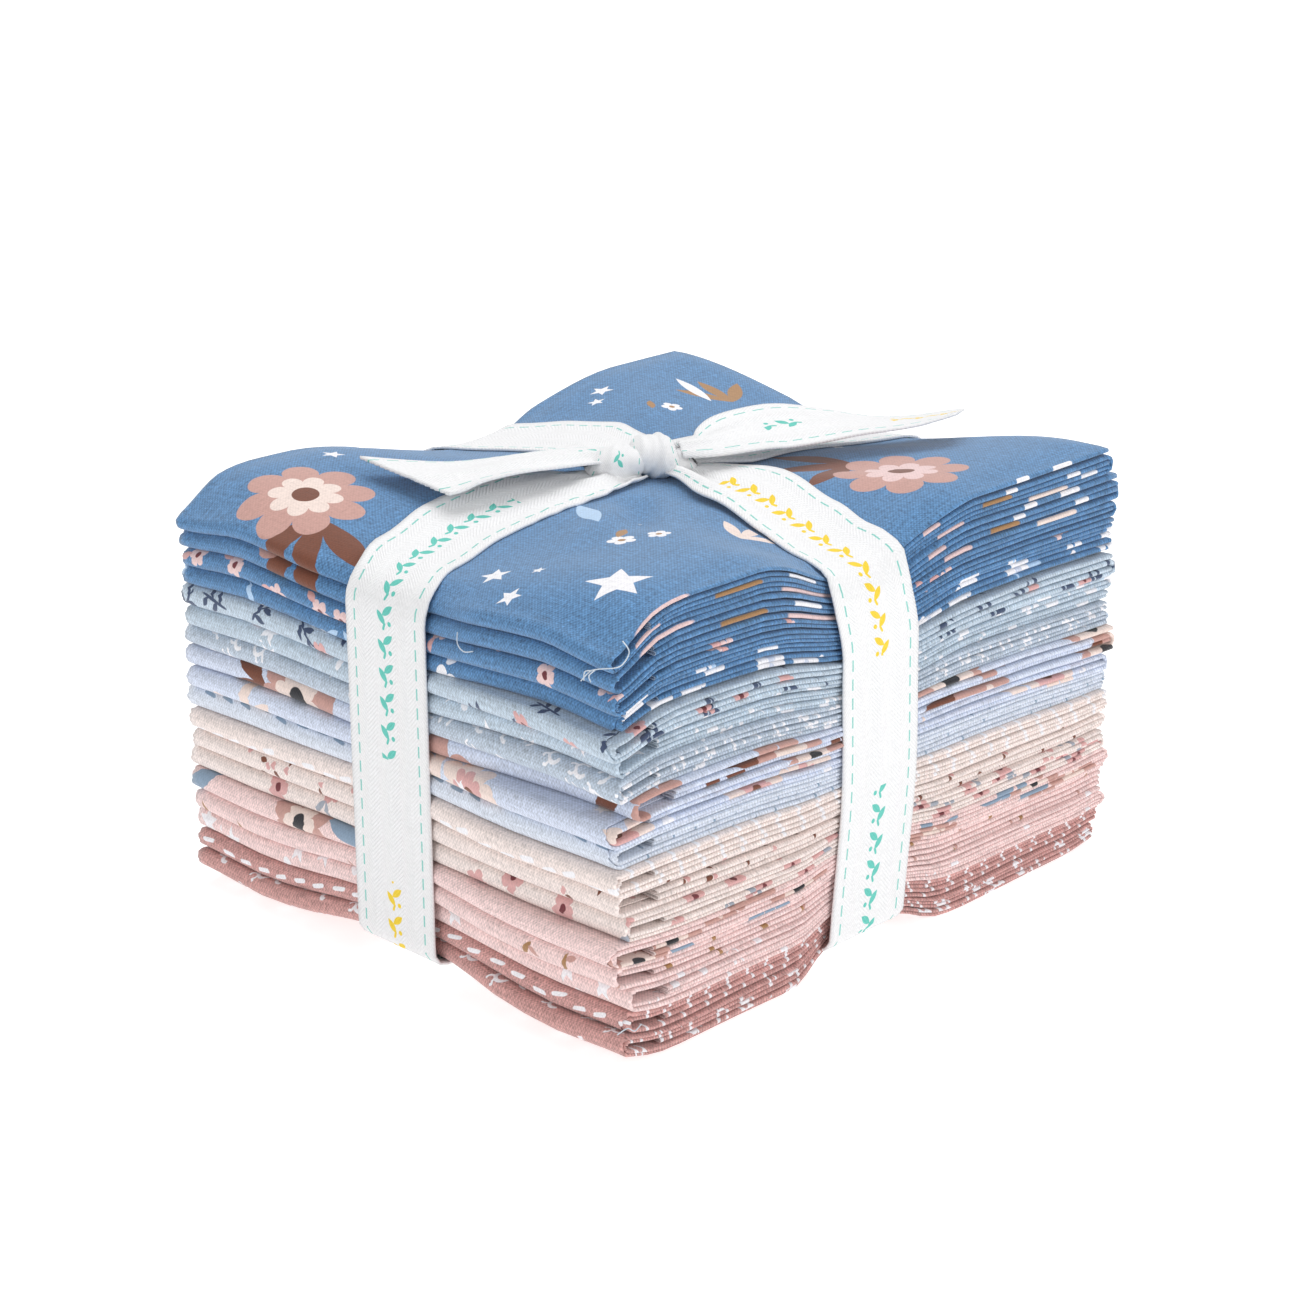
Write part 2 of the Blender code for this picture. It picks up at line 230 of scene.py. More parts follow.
def settle(x, y, level):
    """Height at which a point of the flat stack comes to lie in the tied bundle."""
    share = level / STACK
    right = 0.5 + 0.5 * x / HALF_X
    back = 0.5 + 0.5 * y / HALF_Y
    height = mix(mix(TOP_FRONT, TOP_RIGHT, right), mix(TOP_LEFT, TOP_BACK, right), back)
    z = height * (share - LOOSE_RIGHT * right * share * (1.0 - share))
    out_x = ramp(abs(x), DEEPER_FROM * HALF_X, HALF_X)
    out_y = ramp(abs(y), DEEPER_FROM * HALF_Y, HALF_Y)
    lengthwise = valley(y, right, LENGTHWISE_VALLEY)
    crosswise = valley(x, back, CROSSWISE_VALLEY)
    dip = max(lengthwise * mix(DIP_MIDDLE, DIP_EDGE, out_x), crosswise * mix(DIP_MIDDLE, DIP_EDGE, out_y))
    round_x = near_edge(x, HALF_X, EDGE_REACH) * mix(EDGE_ROUND, SHOULDER_ROUND, held(y))
    round_y = near_edge(y, HALF_Y, EDGE_REACH) * mix(EDGE_ROUND, SHOULDER_ROUND, held(x))
    dip += max(round_x, round_y)
    fold = max(0.0, 1.0 - (x + HALF_X) / FOLD_REACH) ** 2 if x > -HALF_X else 1.0
    dip += FOLD_ROUND * fold * (1.0 - 0.9 * lengthwise)
    raised_x = 1.0 - ramp(abs(y), *LIFT_LENGTHWISE)
    raised_y = 1.0 - ramp(abs(x + LIFT_ASIDE), *LIFT_CROSSWISE)
    lift = max(raised_x * mix(LIFT_MIDDLE, LIFT_EDGE, out_x), raised_y * mix(LIFT_MIDDLE, LIFT_EDGE, out_y))
    lift += FOLD_LIFT * fold * (1.0 - 0.4 * raised_x)
    corner = near_edge(x, HALF_X, CORNER_REACH) * near_edge(y, HALF_Y, CORNER_LENGTHEN * CORNER_REACH)
    if x < 0.0:
        z -= (FRONT_DROOP if y < 0.0 else LEFT_DROOP) * corner * share ** 2
    z -= dip * share ** PRESS
    z += lift * (1.0 - share) ** PRESS
    z += CORNER_LIFT * corner * (1.0 - share) ** 3
    z += crease(x, y) * share ** CREASE_FADE
    inside = 4.0 * share * (1.0 - share)
    z += PLY_WAVE * inside * noise.noise(Vector((x * 22, y * 22, level * 60)))
    return z


def squared(x, y):
    """Share of a cut's stray that is left at this place, beside or under the bands."""
    return 1.0 - SQUARED_UP * max(held(x), held(y))


def pulled_in(level, press):
    """How far a band draws in the outermost cuts at the stack's edges."""
    return PULL_IN * abs(2.0 * level / STACK - 1.0) ** 4 * press


# One fat quarter: 18 x 21 inches of printed cotton with raw edges. Folded, its smooth outer fold
# is at -X, the ridges of its pleats are at -Y and its raw edges at +X and +Y. The mesh is a flat
# grid whose points are moved onto the folds, so its UV map holds the flat place in metres.
X_STATIONS = (0, 2.5, 6, 10.5, 16, 23, 32, 41, 48, 53, 57, 61, 65, 70, 79)
Y_STATIONS = (0, 2, 6, 12, 20, 29, 38, 46, 53, 60, 66.5)
FLAP_GAP = 9.5 * MM
PLEAT_STEPS = 4
SMALL_STEPS = 6
LARGE_STEPS = 10
SQUASH = 0.82
RIDGE_REACH = 8 * MM
RIDGE_FLAT = 0.30 * MM
RIDGE_PUSHED = 2.6 * MM
RIDGE_BULGE = 1.35
RIDGE_JITTER = 0.5 * MM
RIDGE_STRAY = 0.8 * MM
SIDE_WAVE = 0.7 * MM
SIDE_SWELL = 0.2 * MM
LOOP_CLEAR = 0.05 * MM


def shares(stations, half, finer):
    """Shares of a panel at its stations, given in mm from one side to the middle, and mirrored."""
    one_side = [station * MM / (2 * half) for station in stations]
    both = one_side + [1.0 - share for share in reversed(one_side[:-1])]
    result = []
    for start, end in zip(both, both[1:]):
        result += [mix(start, end, step / finer) for step in range(finer)]
    return result + [1.0]


def pleats(finer):
    """Back and forth along Y: (share of the panel, ply, turn round a fold from that ply, flat run)."""
    columns = []
    run = 0.0
    stations = shares(Y_STATIONS, HALF_Y, finer)
    for ply in range(PLIES):
        to_front = ply % 2 == 0
        for share in stations:
            columns.append((1.0 - share if to_front else share, ply, 0.0, run + share * 2 * HALF_Y))
        run += 2 * HALF_Y
        if ply == PLIES - 1:
            break
        for step in range(1, PLEAT_STEPS):
            angle = math.pi * step / PLEAT_STEPS
            columns.append((0.0 if to_front else 1.0, ply, angle, run + PLY / 2 * angle))
        run += math.pi * PLY / 2
    return columns


def letter(finer):
    """Across X, from the flap's raw edge to the free edge: (share of the panel, out past it, level
    of the layer's middle, its normal as x and z, the layers it lies between, flat run)."""
    stations = shares(X_STATIONS, HALF_X, finer)
    gap = FLAP_GAP / (2 * HALF_X)
    flap = [gap] + [share for share in stations if share > gap + 0.01]
    rows = [(share, 0.0, 1.5 * LAYER, 0.0, 1.0, (1, 1, 0.0), (share - gap) * 2 * HALF_X) for share in flap]
    run = rows[-1][-1]

    def turn_over(steps, radius, side, share, centre, layers):
        for step in range(1, steps):
            angle = math.pi * step / steps
            aside, up = side * math.sin(angle) * SQUASH, side * math.cos(angle)
            spot = (share, radius * aside, centre + radius * up, aside, up)
            rows.append((*spot, (*layers, step / steps), run + radius * angle))

    turn_over(SMALL_STEPS, LAYER / 2, 1.0, 1.0, LAYER, (1, 0))
    run += math.pi * LAYER / 2
    low = (0, 0, 0.0)
    rows += [(1.0 - share, 0.0, 0.5 * LAYER, 0.0, -1.0, low, run + share * 2 * HALF_X) for share in stations]
    run = rows[-1][-1]
    turn_over(LARGE_STEPS, LAYER, -1.0, 0.0, 1.5 * LAYER, (0, 2))
    run += math.pi * LAYER
    high = (2, 2, 0.0)
    rows += [(share, 0.0, 2.5 * LAYER, 0.0, 1.0, high, run + share * 2 * HALF_X) for share in stations]
    return rows


def swollen(pushed):
    """Heights of the plies in each layer at the ridges, where some of the six are pushed back and
    the others swell: for each layer, the four plies' places along the layer's normal."""
    full = (CUT - len(pushed) * RIDGE_FLAT) / (2 * LAYERS - len(pushed))
    heights = [RIDGE_FLAT if ridge in pushed else full for ridge in range(2 * LAYERS)]
    level = 0.0
    loops = []
    for height in heights:
        radius = max(0.02 * MM, height / 2 - CLOTH / 2 - LOOP_CLEAR)
        loops.append((level + height / 2 - radius, level + height / 2 + radius))
        level += height
    layers = []
    for layer in range(LAYERS):
        middle = (layer + 0.5) * LAYER
        plies = [*loops[2 * layer], *loops[2 * layer + 1]]
        if layer == 0:
            layers.append([middle - level for level in reversed(plies)])
        else:
            layers.append([level - middle for level in plies])
    return layers


def lay_grid(across, along, place):
    """A grid whose points go where place(column, row) says, as (place, flat place)."""
    mesh = bmesh.new()
    bmesh.ops.create_grid(mesh, x_segments=across, y_segments=along, size=0.5)
    flat = mesh.loops.layers.uv.new("flat")
    spots = {}
    for vertex in mesh.verts:
        column = round((vertex.co.x + 0.5) * across)
        row = round((vertex.co.y + 0.5) * along)
        vertex.co, spots[vertex] = place(column, row)
    for face in mesh.faces:
        face.smooth = True
        for loop in face.loops:
            loop[flat].uv = spots[loop.vert]
    return mesh


def add_sheet(name, mesh, thickness, finishes):
    """A grid as a piece with the sheet's thickness, its face in the first finish, its back in the last."""
    piece = into_scene(name, mesh, finishes)
    body = piece.modifiers.new("Thickness", "SOLIDIFY")
    body.thickness = thickness
    body.offset = 0.0
    body.use_quality_normals = True
    body.material_offset = len(finishes) - 1
    body.material_offset_rim = len(finishes) - 1
    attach(piece, "root")
    return piece


def fold_cut(number, row, finer):
    """The grid of one folded cut, counted from the top of the stack."""
    fold_front, fold_left, far, ridge, back, free_edge_up, pushed = row[:7]
    base = CUT * (CUT_COUNT - number)
    columns = pleats(finer)
    rows = letter(finer)
    middle = base + CUT / 2
    puffed = swollen(pushed)

    def height_of(ply, layers, weight):
        start, end, share = layers
        swelled = mix(puffed[start][ply], puffed[end][ply], share)
        return mix((ply - 0.5 * (PLIES - 1)) * PLY, swelled, weight)

    def is_pushed(ply, layer):
        pair = ply // 2
        return 1.0 if (2 * layer + (1 - pair if layer == 0 else pair)) in pushed else 0.0

    def place(column, line):
        across, ply, turn, u = columns[column]
        along, out_x, level, normal_x, normal_z, layers, v = rows[line]
        weight = 1.0 - ramp(across * 2 * HALF_Y, 0.0, RIDGE_REACH)
        height = height_of(ply, layers, weight)
        out_y = 0.0
        if turn > 0.0:
            next_height = height_of(ply + 1, layers, weight)
            radius = (next_height - height) / 2
            height += radius * (1.0 - math.cos(turn))
            out_y = radius * math.sin(turn) * (-RIDGE_BULGE if across < 0.5 else 1.0)
        local = level + normal_z * height
        if not free_edge_up:
            local = CUT - local
        rough_x = mix(-HALF_X, HALF_X, along)
        rough_y = mix(-HALF_Y, HALF_Y, across)
        kept = squared(rough_x, rough_y)
        fold = mix(fold_front, fold_left, across) * MM
        wave = SIDE_WAVE * noise.noise(Vector((rough_y * 28, number * 7.3, 0.0))) * kept
        drawn_x = pulled_in(middle, held(rough_y))
        left = -HALF_X - fold * kept + drawn_x + LAYER * SQUASH + wave
        right = HALF_X + far * MM * kept - drawn_x - LAYER / 2 * SQUASH + wave
        x = mix(left, right, along) + out_x + normal_x * height
        drawn_y = pulled_in(middle, held(rough_x))
        start, end, share = layers
        layer_number = mix(start, end, share)
        pair = ply // 2
        jitter = noise.noise(Vector((x * 26, number * 3.1 + layer_number * 1.7, pair * 5.3)))
        coarse = noise.noise(Vector((number * 9.7, layer_number * 4.1, pair * 8.9)))
        uneven = (RIDGE_JITTER * jitter + RIDGE_STRAY * coarse) * kept
        push = mix(is_pushed(ply, start), is_pushed(ply, end), share) * RIDGE_PUSHED
        front = -HALF_Y - ridge * MM * kept + drawn_y + uneven + push
        behind = HALF_Y + back * MM * kept - drawn_y + uneven
        y = mix(front, behind, across) + out_y
        bulge = near_edge(rough_y, HALF_Y, 0.2 * HALF_Y)
        local += SIDE_SWELL * bulge * noise.noise(Vector((x * 45, number * 2.3, local * 500)))
        return Vector((x, y, settle(x, y, base + local))), (u, v)

    mesh = lay_grid(len(columns) - 1, len(rows) - 1, place)
    if free_edge_up:
        bmesh.ops.reverse_faces(mesh, faces=mesh.faces[:])
    return mesh


# How the cloth and the tape are finished: printed plain-weave cotton, matt, with the threads
# of the weave showing as fine light and dark. Marks are printed one over another in flat inks.
INK_EDGE = 0.12 * MM
COTTON_PITCH = 0.42 * MM
COTTON_CONTRAST = 0.16
GROUND_CONTRAST = 0.56
COTTON_ROUGHNESS = 0.88
COTTON_SHEEN = 0.26
COTTON_DEPTH = 0.06 * MM
SLUB_LENGTH = 0.045
SLUB_SCALE = 0.42
CLOUD_SCALE = 0.16


def feed(tree, sockets, values):
    """Feeds inputs in order from sockets, plain values or colours of three numbers."""
    for socket, value in zip(sockets, values):
        if isinstance(value, bpy.types.NodeSocket):
            tree.links.new(value, socket)
        else:
            socket.default_value = (*value, 1.0) if socket.type == "RGBA" else value


def put(tree, kind, *values, **settings):
    """Adds a node with these settings and feeds its first inputs."""
    node = tree.nodes.new(kind)
    for name, value in settings.items():
        setattr(node, name, value)
    feed(tree, node.inputs, values)
    return node


def calc(tree, operation, *values):
    return put(tree, "ShaderNodeMath", *values, operation=operation).outputs[0]


def blend(tree, share, low, high):
    """A colour between two, given as sockets or plain colours."""
    node = put(tree, "ShaderNodeMix", data_type="RGBA")
    feed(tree, (node.inputs[0], node.inputs[6], node.inputs[7]), (share, low, high))
    return node.outputs[2]


def shaded(tree, colour, tone):
    """A colour made lighter or darker by a tone around 1."""
    grey = put(tree, "ShaderNodeCombineColor", tone, tone, tone).outputs[0]
    result = blend(tree, 1.0, colour, grey)
    result.node.blend_type = "MULTIPLY"
    return result


def new_group(name, inputs, outputs):
    """An empty node group with these sockets, given as (name, type, value)."""
    tree = bpy.data.node_groups.new(name, "ShaderNodeTree")
    for label, kind, value in inputs:
        socket = tree.interface.new_socket(label, in_out="INPUT", socket_type=kind)
        if value is not None:
            socket.default_value = value
    for label, kind in outputs:
        tree.interface.new_socket(label, in_out="OUTPUT", socket_type=kind)
    given = tree.nodes.new("NodeGroupInput")
    return tree, given.outputs


def use_group(tree, group, *values):
    return put(tree, "ShaderNodeGroup", *values, node_tree=group).outputs


def cloud(tree, place, scale, detail):
    """Soft noise over a flat place, around 0.5."""
    node = put(tree, "ShaderNodeTexNoise", place, noise_dimensions="2D")
    node.inputs["Scale"].default_value = scale
    node.inputs["Detail"].default_value = detail
    return node.outputs[0]


def plain_weave():
    """Threads over and under each other: a tone around 1 for the colour, and a height for the bump."""
    inputs = (
        ("Place", "NodeSocketVector", None),
        ("Pitch", "NodeSocketFloat", 0.4 * MM),
        ("Contrast", "NodeSocketFloat", 0.2),
    )
    outputs = (("Tone", "NodeSocketFloat"), ("Height", "NodeSocketFloat"))
    tree, given = new_group("plain_weave", inputs, outputs)
    turns = calc(tree, "DIVIDE", math.pi, given["Pitch"])
    threads = put(tree, "ShaderNodeVectorMath", given["Place"], operation="SCALE")
    tree.links.new(turns, threads.inputs["Scale"])
    split = put(tree, "ShaderNodeSeparateXYZ", threads.outputs[0])
    over = calc(tree, "MULTIPLY", calc(tree, "SINE", split.outputs[0]), calc(tree, "SINE", split.outputs[1]))
    slubs = []
    for stretch in ((1.0, SLUB_LENGTH, 1.0), (SLUB_LENGTH, 1.0, 1.0)):
        run = put(tree, "ShaderNodeVectorMath", threads.outputs[0], stretch, operation="MULTIPLY")
        slubs.append(cloud(tree, run.outputs[0], SLUB_SCALE, 1.0))
    uneven = calc(tree, "ADD", slubs[0], slubs[1])
    uneven = calc(tree, "MULTIPLY_ADD", cloud(tree, threads.outputs[0], CLOUD_SCALE, 2.0), 1.6, uneven)
    uneven = calc(tree, "SUBTRACT", uneven, 1.8)
    both = calc(tree, "MULTIPLY_ADD", over, 0.35, uneven)
    tone = calc(tree, "MULTIPLY_ADD", both, given["Contrast"], 1.0)
    height = calc(tree, "MULTIPLY_ADD", over, 0.5, uneven)
    put(tree, "NodeGroupOutput", tone, height)
    return tree


def shape_group(name, inside):
    """A printed shape of unit size: inside(tree, x, y) gives a depth that is positive in it."""
    inputs = (("Place", "NodeSocketVector", None), ("Size", "NodeSocketFloat", 1.0 * MM))
    tree, given = new_group(name, inputs, (("Mask", "NodeSocketFloat"),))
    split = put(tree, "ShaderNodeSeparateXYZ", given["Place"])
    depth = inside(tree, split.outputs[0], split.outputs[1])
    mask = calc(tree, "MULTIPLY_ADD", depth, calc(tree, "DIVIDE", given["Size"], INK_EDGE), 0.5)
    mask.node.use_clamp = True
    put(tree, "NodeGroupOutput", mask)
    return tree


def reach(tree, x, y):
    square = calc(tree, "MULTIPLY_ADD", x, x, calc(tree, "MULTIPLY", y, y))
    return calc(tree, "SQRT", square)


def oval(tree, x, y):
    return calc(tree, "SUBTRACT", 1.0, reach(tree, x, y))


def leaf(tree, x, y):
    bow = calc(tree, "SUBTRACT", 1.0, calc(tree, "MULTIPLY", x, x))
    return calc(tree, "SUBTRACT", bow, calc(tree, "ABSOLUTE", y))


def dash(tree, x, y):
    blunt = calc(tree, "POWER", calc(tree, "ABSOLUTE", x), 6.0)
    square = calc(tree, "ADD", blunt, calc(tree, "MULTIPLY", y, y))
    return calc(tree, "SUBTRACT", 1.0, calc(tree, "SQRT", square))


def petals(count, deep):
    """A flower with this many petals, parted by this share of its size."""
    def inside(tree, x, y):
        angle = calc(tree, "ARCTAN2", y, x)
        wave = calc(tree, "ABSOLUTE", calc(tree, "COSINE", calc(tree, "MULTIPLY", angle, count / 2)))
        edge = calc(tree, "MULTIPLY_ADD", calc(tree, "POWER", wave, 0.6), deep, 1.0 - deep)
        return calc(tree, "SUBTRACT", edge, reach(tree, x, y))
    return inside


def star(tree, x, y):
    """Five points: in each half point, the side of a straight edge on which a place lies."""
    edge_x, edge_y = 0.384, 0.923
    turned = calc(tree, "PINGPONG", calc(tree, "ARCTAN2", y, x), math.tau / 10)
    along = calc(tree, "MULTIPLY", calc(tree, "COSINE", turned), edge_x)
    aside = calc(tree, "MULTIPLY_ADD", calc(tree, "SINE", turned), edge_y, along)
    return calc(tree, "SUBTRACT", edge_x, calc(tree, "MULTIPLY", aside, reach(tree, x, y)))


def hook(tree, x, y):
    """A ring that is open for part of its turn."""
    radius, half_width, opening = 0.78, 0.2, 1.7
    from_ring = calc(tree, "ABSOLUTE", calc(tree, "SUBTRACT", reach(tree, x, y), radius))
    ring = calc(tree, "SUBTRACT", half_width, from_ring)
    return calc(tree, "MINIMUM", ring, calc(tree, "ADD", calc(tree, "ARCTAN2", y, x), opening))


weave = plain_weave()
DEPTHS = {
    "oval": oval, "leaf": leaf, "dash": dash, "star": star, "hook": hook,
    "five_petals": petals(5, 0.42), "eight_petals": petals(8, 0.34),
}
SHAPES = {name: shape_group(name, inside) for name, inside in DEPTHS.items()}

# Inks of the prints, linear
WHITE = (0.84, 0.83, 0.86)
CREAM = (0.80, 0.66, 0.60)
PINK = (0.66, 0.37, 0.36)
PALE_PINK = (0.76, 0.55, 0.54)
DUSTY = (0.53, 0.30, 0.26)
RUST = (0.165, 0.048, 0.022)
WINE = (0.150, 0.022, 0.030)
OCHRE = (0.36, 0.19, 0.075)
SKY = (0.42, 0.59, 0.80)
NAVY = (0.045, 0.070, 0.140)
STEEL = (0.23, 0.32, 0.43)
GREY = (0.33, 0.36, 0.42)
BLACK = (0.015, 0.015, 0.020)


def print_marks(tree, colour, local, marks, within=None):
    """Prints marks over a colour: each is a shape, its ink, half length and half width, place and turn.
    within is 1 where they show and 0 elsewhere."""
    for shape, ink, length, width, x, y, turn in marks:
        unit = put(
            tree, "ShaderNodeMapping", local,
            (x * MM, y * MM, 0.0), (0.0, 0.0, math.radians(turn)), (length * MM, width * MM, 1.0),
            vector_type="TEXTURE",
        ).outputs[0]
        mask = use_group(tree, SHAPES[shape], unit, min(length, width) * MM)[0]
        if within is not None:
            mask = calc(tree, "MULTIPLY", mask, within)
        colour = blend(tree, mask, colour, ink)
    return colour


def scattered(tree, place, spacing, jitter, turned, shift):
    """The place measured from the nearest of many scattered points, turned at random."""
    moved = put(tree, "ShaderNodeVectorMath", place, (shift, shift * 0.7, 0.0), operation="ADD").outputs[0]
    spots = put(tree, "ShaderNodeTexVoronoi", moved, voronoi_dimensions="2D")
    spots.inputs["Scale"].default_value = 1.0 / (spacing * MM)
    spots.inputs["Randomness"].default_value = jitter
    local = put(tree, "ShaderNodeVectorMath", moved, spots.outputs["Position"], operation="SUBTRACT")
    chance = put(tree, "ShaderNodeSeparateColor", spots.outputs["Color"]).outputs[0]
    turn = calc(tree, "MULTIPLY", chance, math.radians(turned))
    spun = put(tree, "ShaderNodeVectorRotate", local.outputs[0], rotation_type="Z_AXIS")
    tree.links.new(turn, spun.inputs["Angle"])
    return spun.outputs[0]


def new_cloth(name):
    """A cloth's material, its node tree and the flat place on the cloth."""
    material = bpy.data.materials.new(name)
    material.use_nodes = True
    place = put(material.node_tree, "ShaderNodeUVMap", uv_map="flat").outputs[0]
    return material, material.node_tree, place


def finish_cloth(tree, colour, roughness, relief, strength, depth):
    """Gives the shader its colour, its roughness and a relief as a bump of this strength and depth."""
    shader = tree.nodes["Principled BSDF"]
    tree.links.new(colour, shader.inputs["Base Color"])
    shader.inputs["Roughness"].default_value = roughness
    bump = put(tree, "ShaderNodeBump")
    bump.inputs["Strength"].default_value = strength
    bump.inputs["Distance"].default_value = depth
    tree.links.new(relief, bump.inputs["Height"])
    tree.links.new(bump.outputs[0], shader.inputs["Normal"])


def cotton(name, ground, scatters, placed=(), tile=(0.2, 0.2), single=()):
    """The printed cotton: its ground, scattered marks, marks in a repeat, single marks, and its weave,
    which shows most on a dark ground and least on the opaque inks."""
    material, tree, place = new_cloth(name)
    tone, height = use_group(tree, weave, place, COTTON_PITCH, COTTON_CONTRAST)
    contrast = GROUND_CONTRAST * (1.0 - ground[1])
    colour = shaded(tree, ground, calc(tree, "MULTIPLY_ADD", height, contrast, 1.0))
    for spacing, jitter, turned, shift, marks in scatters:
        colour = print_marks(tree, colour, scattered(tree, place, spacing, jitter, turned, shift * MM), marks)
    if placed:
        wrapped = put(tree, "ShaderNodeVectorMath", place, (*tile, 1.0), (0.0, 0.0, 0.0), operation="WRAP")
        colour = print_marks(tree, colour, wrapped.outputs[0], placed)
    colour = print_marks(tree, colour, place, single)
    finish_cloth(tree, shaded(tree, colour, tone), COTTON_ROUGHNESS, height, 0.35, COTTON_DEPTH)
    shader = tree.nodes["Principled BSDF"]
    shader.inputs["Sheen Weight"].default_value = COTTON_SHEEN
    shader.inputs["Sheen Roughness"].default_value = 0.5
    return material


# Grounds of the cloths, linear
DENIM = (0.080, 0.205, 0.395)
MIST = (0.470, 0.560, 0.650)
SLATE = (0.460, 0.530, 0.620)
LAVENDER = (0.590, 0.645, 0.775)
ICE = (0.630, 0.680, 0.770)
LINEN = (0.800, 0.700, 0.665)
BLUSH = (0.800, 0.600, 0.585)
ROSE = (0.540, 0.290, 0.270)


def bloom(x, y, size, turn, outer, inner, eye):
    """A large flower of the main print: two rings of petals round an eye."""
    return (
        ("eight_petals", outer, size, size, x, y, turn),
        ("eight_petals", inner, 0.56 * size, 0.56 * size, x, y, turn + 22),
        ("oval", eye, 0.2 * size, 0.2 * size, x, y, 0),
    )


def sprig(x, y, size, turn, ink):
    """Three leaves from one point."""
    marks = []
    for way in (turn - 42, turn, turn + 42):
        angle = math.radians(way)
        middle = (x + size * math.cos(angle), y + size * math.sin(angle))
        marks.append(("leaf", ink, size, 0.26 * size, *middle, way))
    return tuple(marks)


def blossom(x, y, size, turn, ink, eye):
    return (
        ("five_petals", ink, size, size, x, y, turn),
        ("oval", eye, 0.27 * size, 0.27 * size, x, y, 0),
    )


# The main print is placed one by one on the top panel, in mm from the panel's middle
TOP_U = 3 * (2 * HALF_Y + math.pi * PLY / 2) + HALF_Y
TOP_V = 6 * HALF_X - FLAP_GAP + math.pi * 1.5 * LAYER - HALF_X
MAIN_TILE = (266 * MM, 190 * MM)


def on_top(marks):
    """Marks given by their place on the top, x and y in mm, as marks on the flat cloth."""
    result = []
    for shape, ink, length, width, x, y, turn in marks:
        u = (TOP_U + y * MM) % MAIN_TILE[0]
        v = (TOP_V + x * MM) % MAIN_TILE[1]
        result.append((shape, ink, length, width, u / MM, v / MM, 90.0 - turn))
    return tuple(result)


MAIN_PRINT = on_top((
    *sprig(-70, 30, 11, 205, RUST),
    *bloom(-66, 40, 15, 10, DUSTY, CREAM, RUST),
    *sprig(34, -30, 10, 150, RUST),
    *bloom(34, -44, 15, 0, DUSTY, PALE_PINK, RUST),
    *sprig(-20, -46, 5.5, 20, CREAM),
    *sprig(60, 30, 7, 80, OCHRE),
    ("leaf", WHITE, 8, 1.6, 57, 40, 75),
    ("leaf", SKY, 9, 2.2, -33, -12, 60),
    ("star", WHITE, 7.2, 7.2, -64, -53, 40),
    ("star", WHITE, 3.8, 3.8, -69, -21, 40),
    ("star", WHITE, 2.8, 2.8, -75, -33, 0),
    ("star", WHITE, 1.6, 1.6, -64, -30, 20),
    ("star", WHITE, 3.0, 3.0, 40, 54, 10),
    ("star", WHITE, 2.2, 2.2, 34, 50, 50),
    ("star", WHITE, 2.8, 2.8, -45, 55, 30),
    ("star", WHITE, 2.4, 2.4, 50, -12, 70),
    *blossom(-42, -32, 3.2, 0, WHITE, OCHRE),
    *blossom(-35, -36, 2.6, 30, WHITE, OCHRE),
    ("leaf", OCHRE, 3.2, 1.2, -38, -28, 30),
    *blossom(42, 33, 2.6, 10, WHITE, OCHRE),
    ("leaf", OCHRE, 2.6, 1.0, 38, 36, 50),
))

# Short stretches of print that show on the ridges of the topmost cuts
RIDGE_MARKS = (
    # layer, counted from the bottom one, ridge in it, middle, half length, half width, ink
    (2, 1, -66.0, 7.5, 0.30, PALE_PINK), (2, 1, -9.0, 3.0, 0.50, WHITE), (2, 1, 48.0, 2.2, 0.50, WHITE),
    (2, 1, 62.0, 3.4, 0.50, WHITE), (2, 0, -57.0, 6.0, 0.50, WHITE), (2, 0, -49.5, 0.7, 0.45, BLACK),
    (2, 0, -44.0, 4.0, 0.50, WHITE), (2, 0, -38.0, 0.6, 0.45, BLACK), (2, 0, -30.0, 5.5, 0.50, PALE_PINK),
    (2, 0, -17.0, 3.0, 0.50, WHITE), (2, 0, 28.0, 5.0, 0.40, PALE_PINK), (2, 0, 55.0, 6.5, 0.45, PALE_PINK),
    (1, 1, -24.0, 4.5, 0.50, WHITE), (1, 1, 18.0, 2.5, 0.50, PALE_PINK), (1, 1, 44.0, 2.0, 0.50, WHITE),
    (1, 0, -44.0, 7.0, 0.50, OCHRE), (1, 0, 39.0, 5.0, 0.45, OCHRE), (1, 0, 66.0, 2.4, 0.50, WHITE),
    (0, 0, -22.0, 9.0, 0.50, PALE_PINK), (0, 0, 24.0, 4.0, 0.45, PALE_PINK), (0, 0, 57.0, 7.0, 0.50, CREAM),
    (0, 1, -8.0, 3.0, 0.50, WHITE), (0, 1, -70.0, 3.5, 0.45, PALE_PINK), (0, 1, 72.0, 3.0, 0.45, WHITE),
)


def on_ridge(layer, ridge, x):
    """The flat place, in mm, of a ridge at -Y, x mm along it."""
    turn = 1.0 if ridge == (1 if layer == 0 else 0) else 3.0
    u = turn * 2 * HALF_Y + (turn - 0.5) * math.pi * PLY / 2
    flap_end = 2 * HALF_X - FLAP_GAP + math.pi * LAYER / 2
    top_start = flap_end + 2 * HALF_X + math.pi * LAYER
    starts = (flap_end + HALF_X - x * MM, HALF_X - FLAP_GAP + x * MM, top_start + HALF_X + x * MM)
    return u / MM, starts[layer] / MM


RIDGE_PRINT = tuple(
    ("dash", ink, length, width, *on_ridge(layer, ridge, x), 90)
    for layer, ridge, x, length, width, ink in RIDGE_MARKS
)

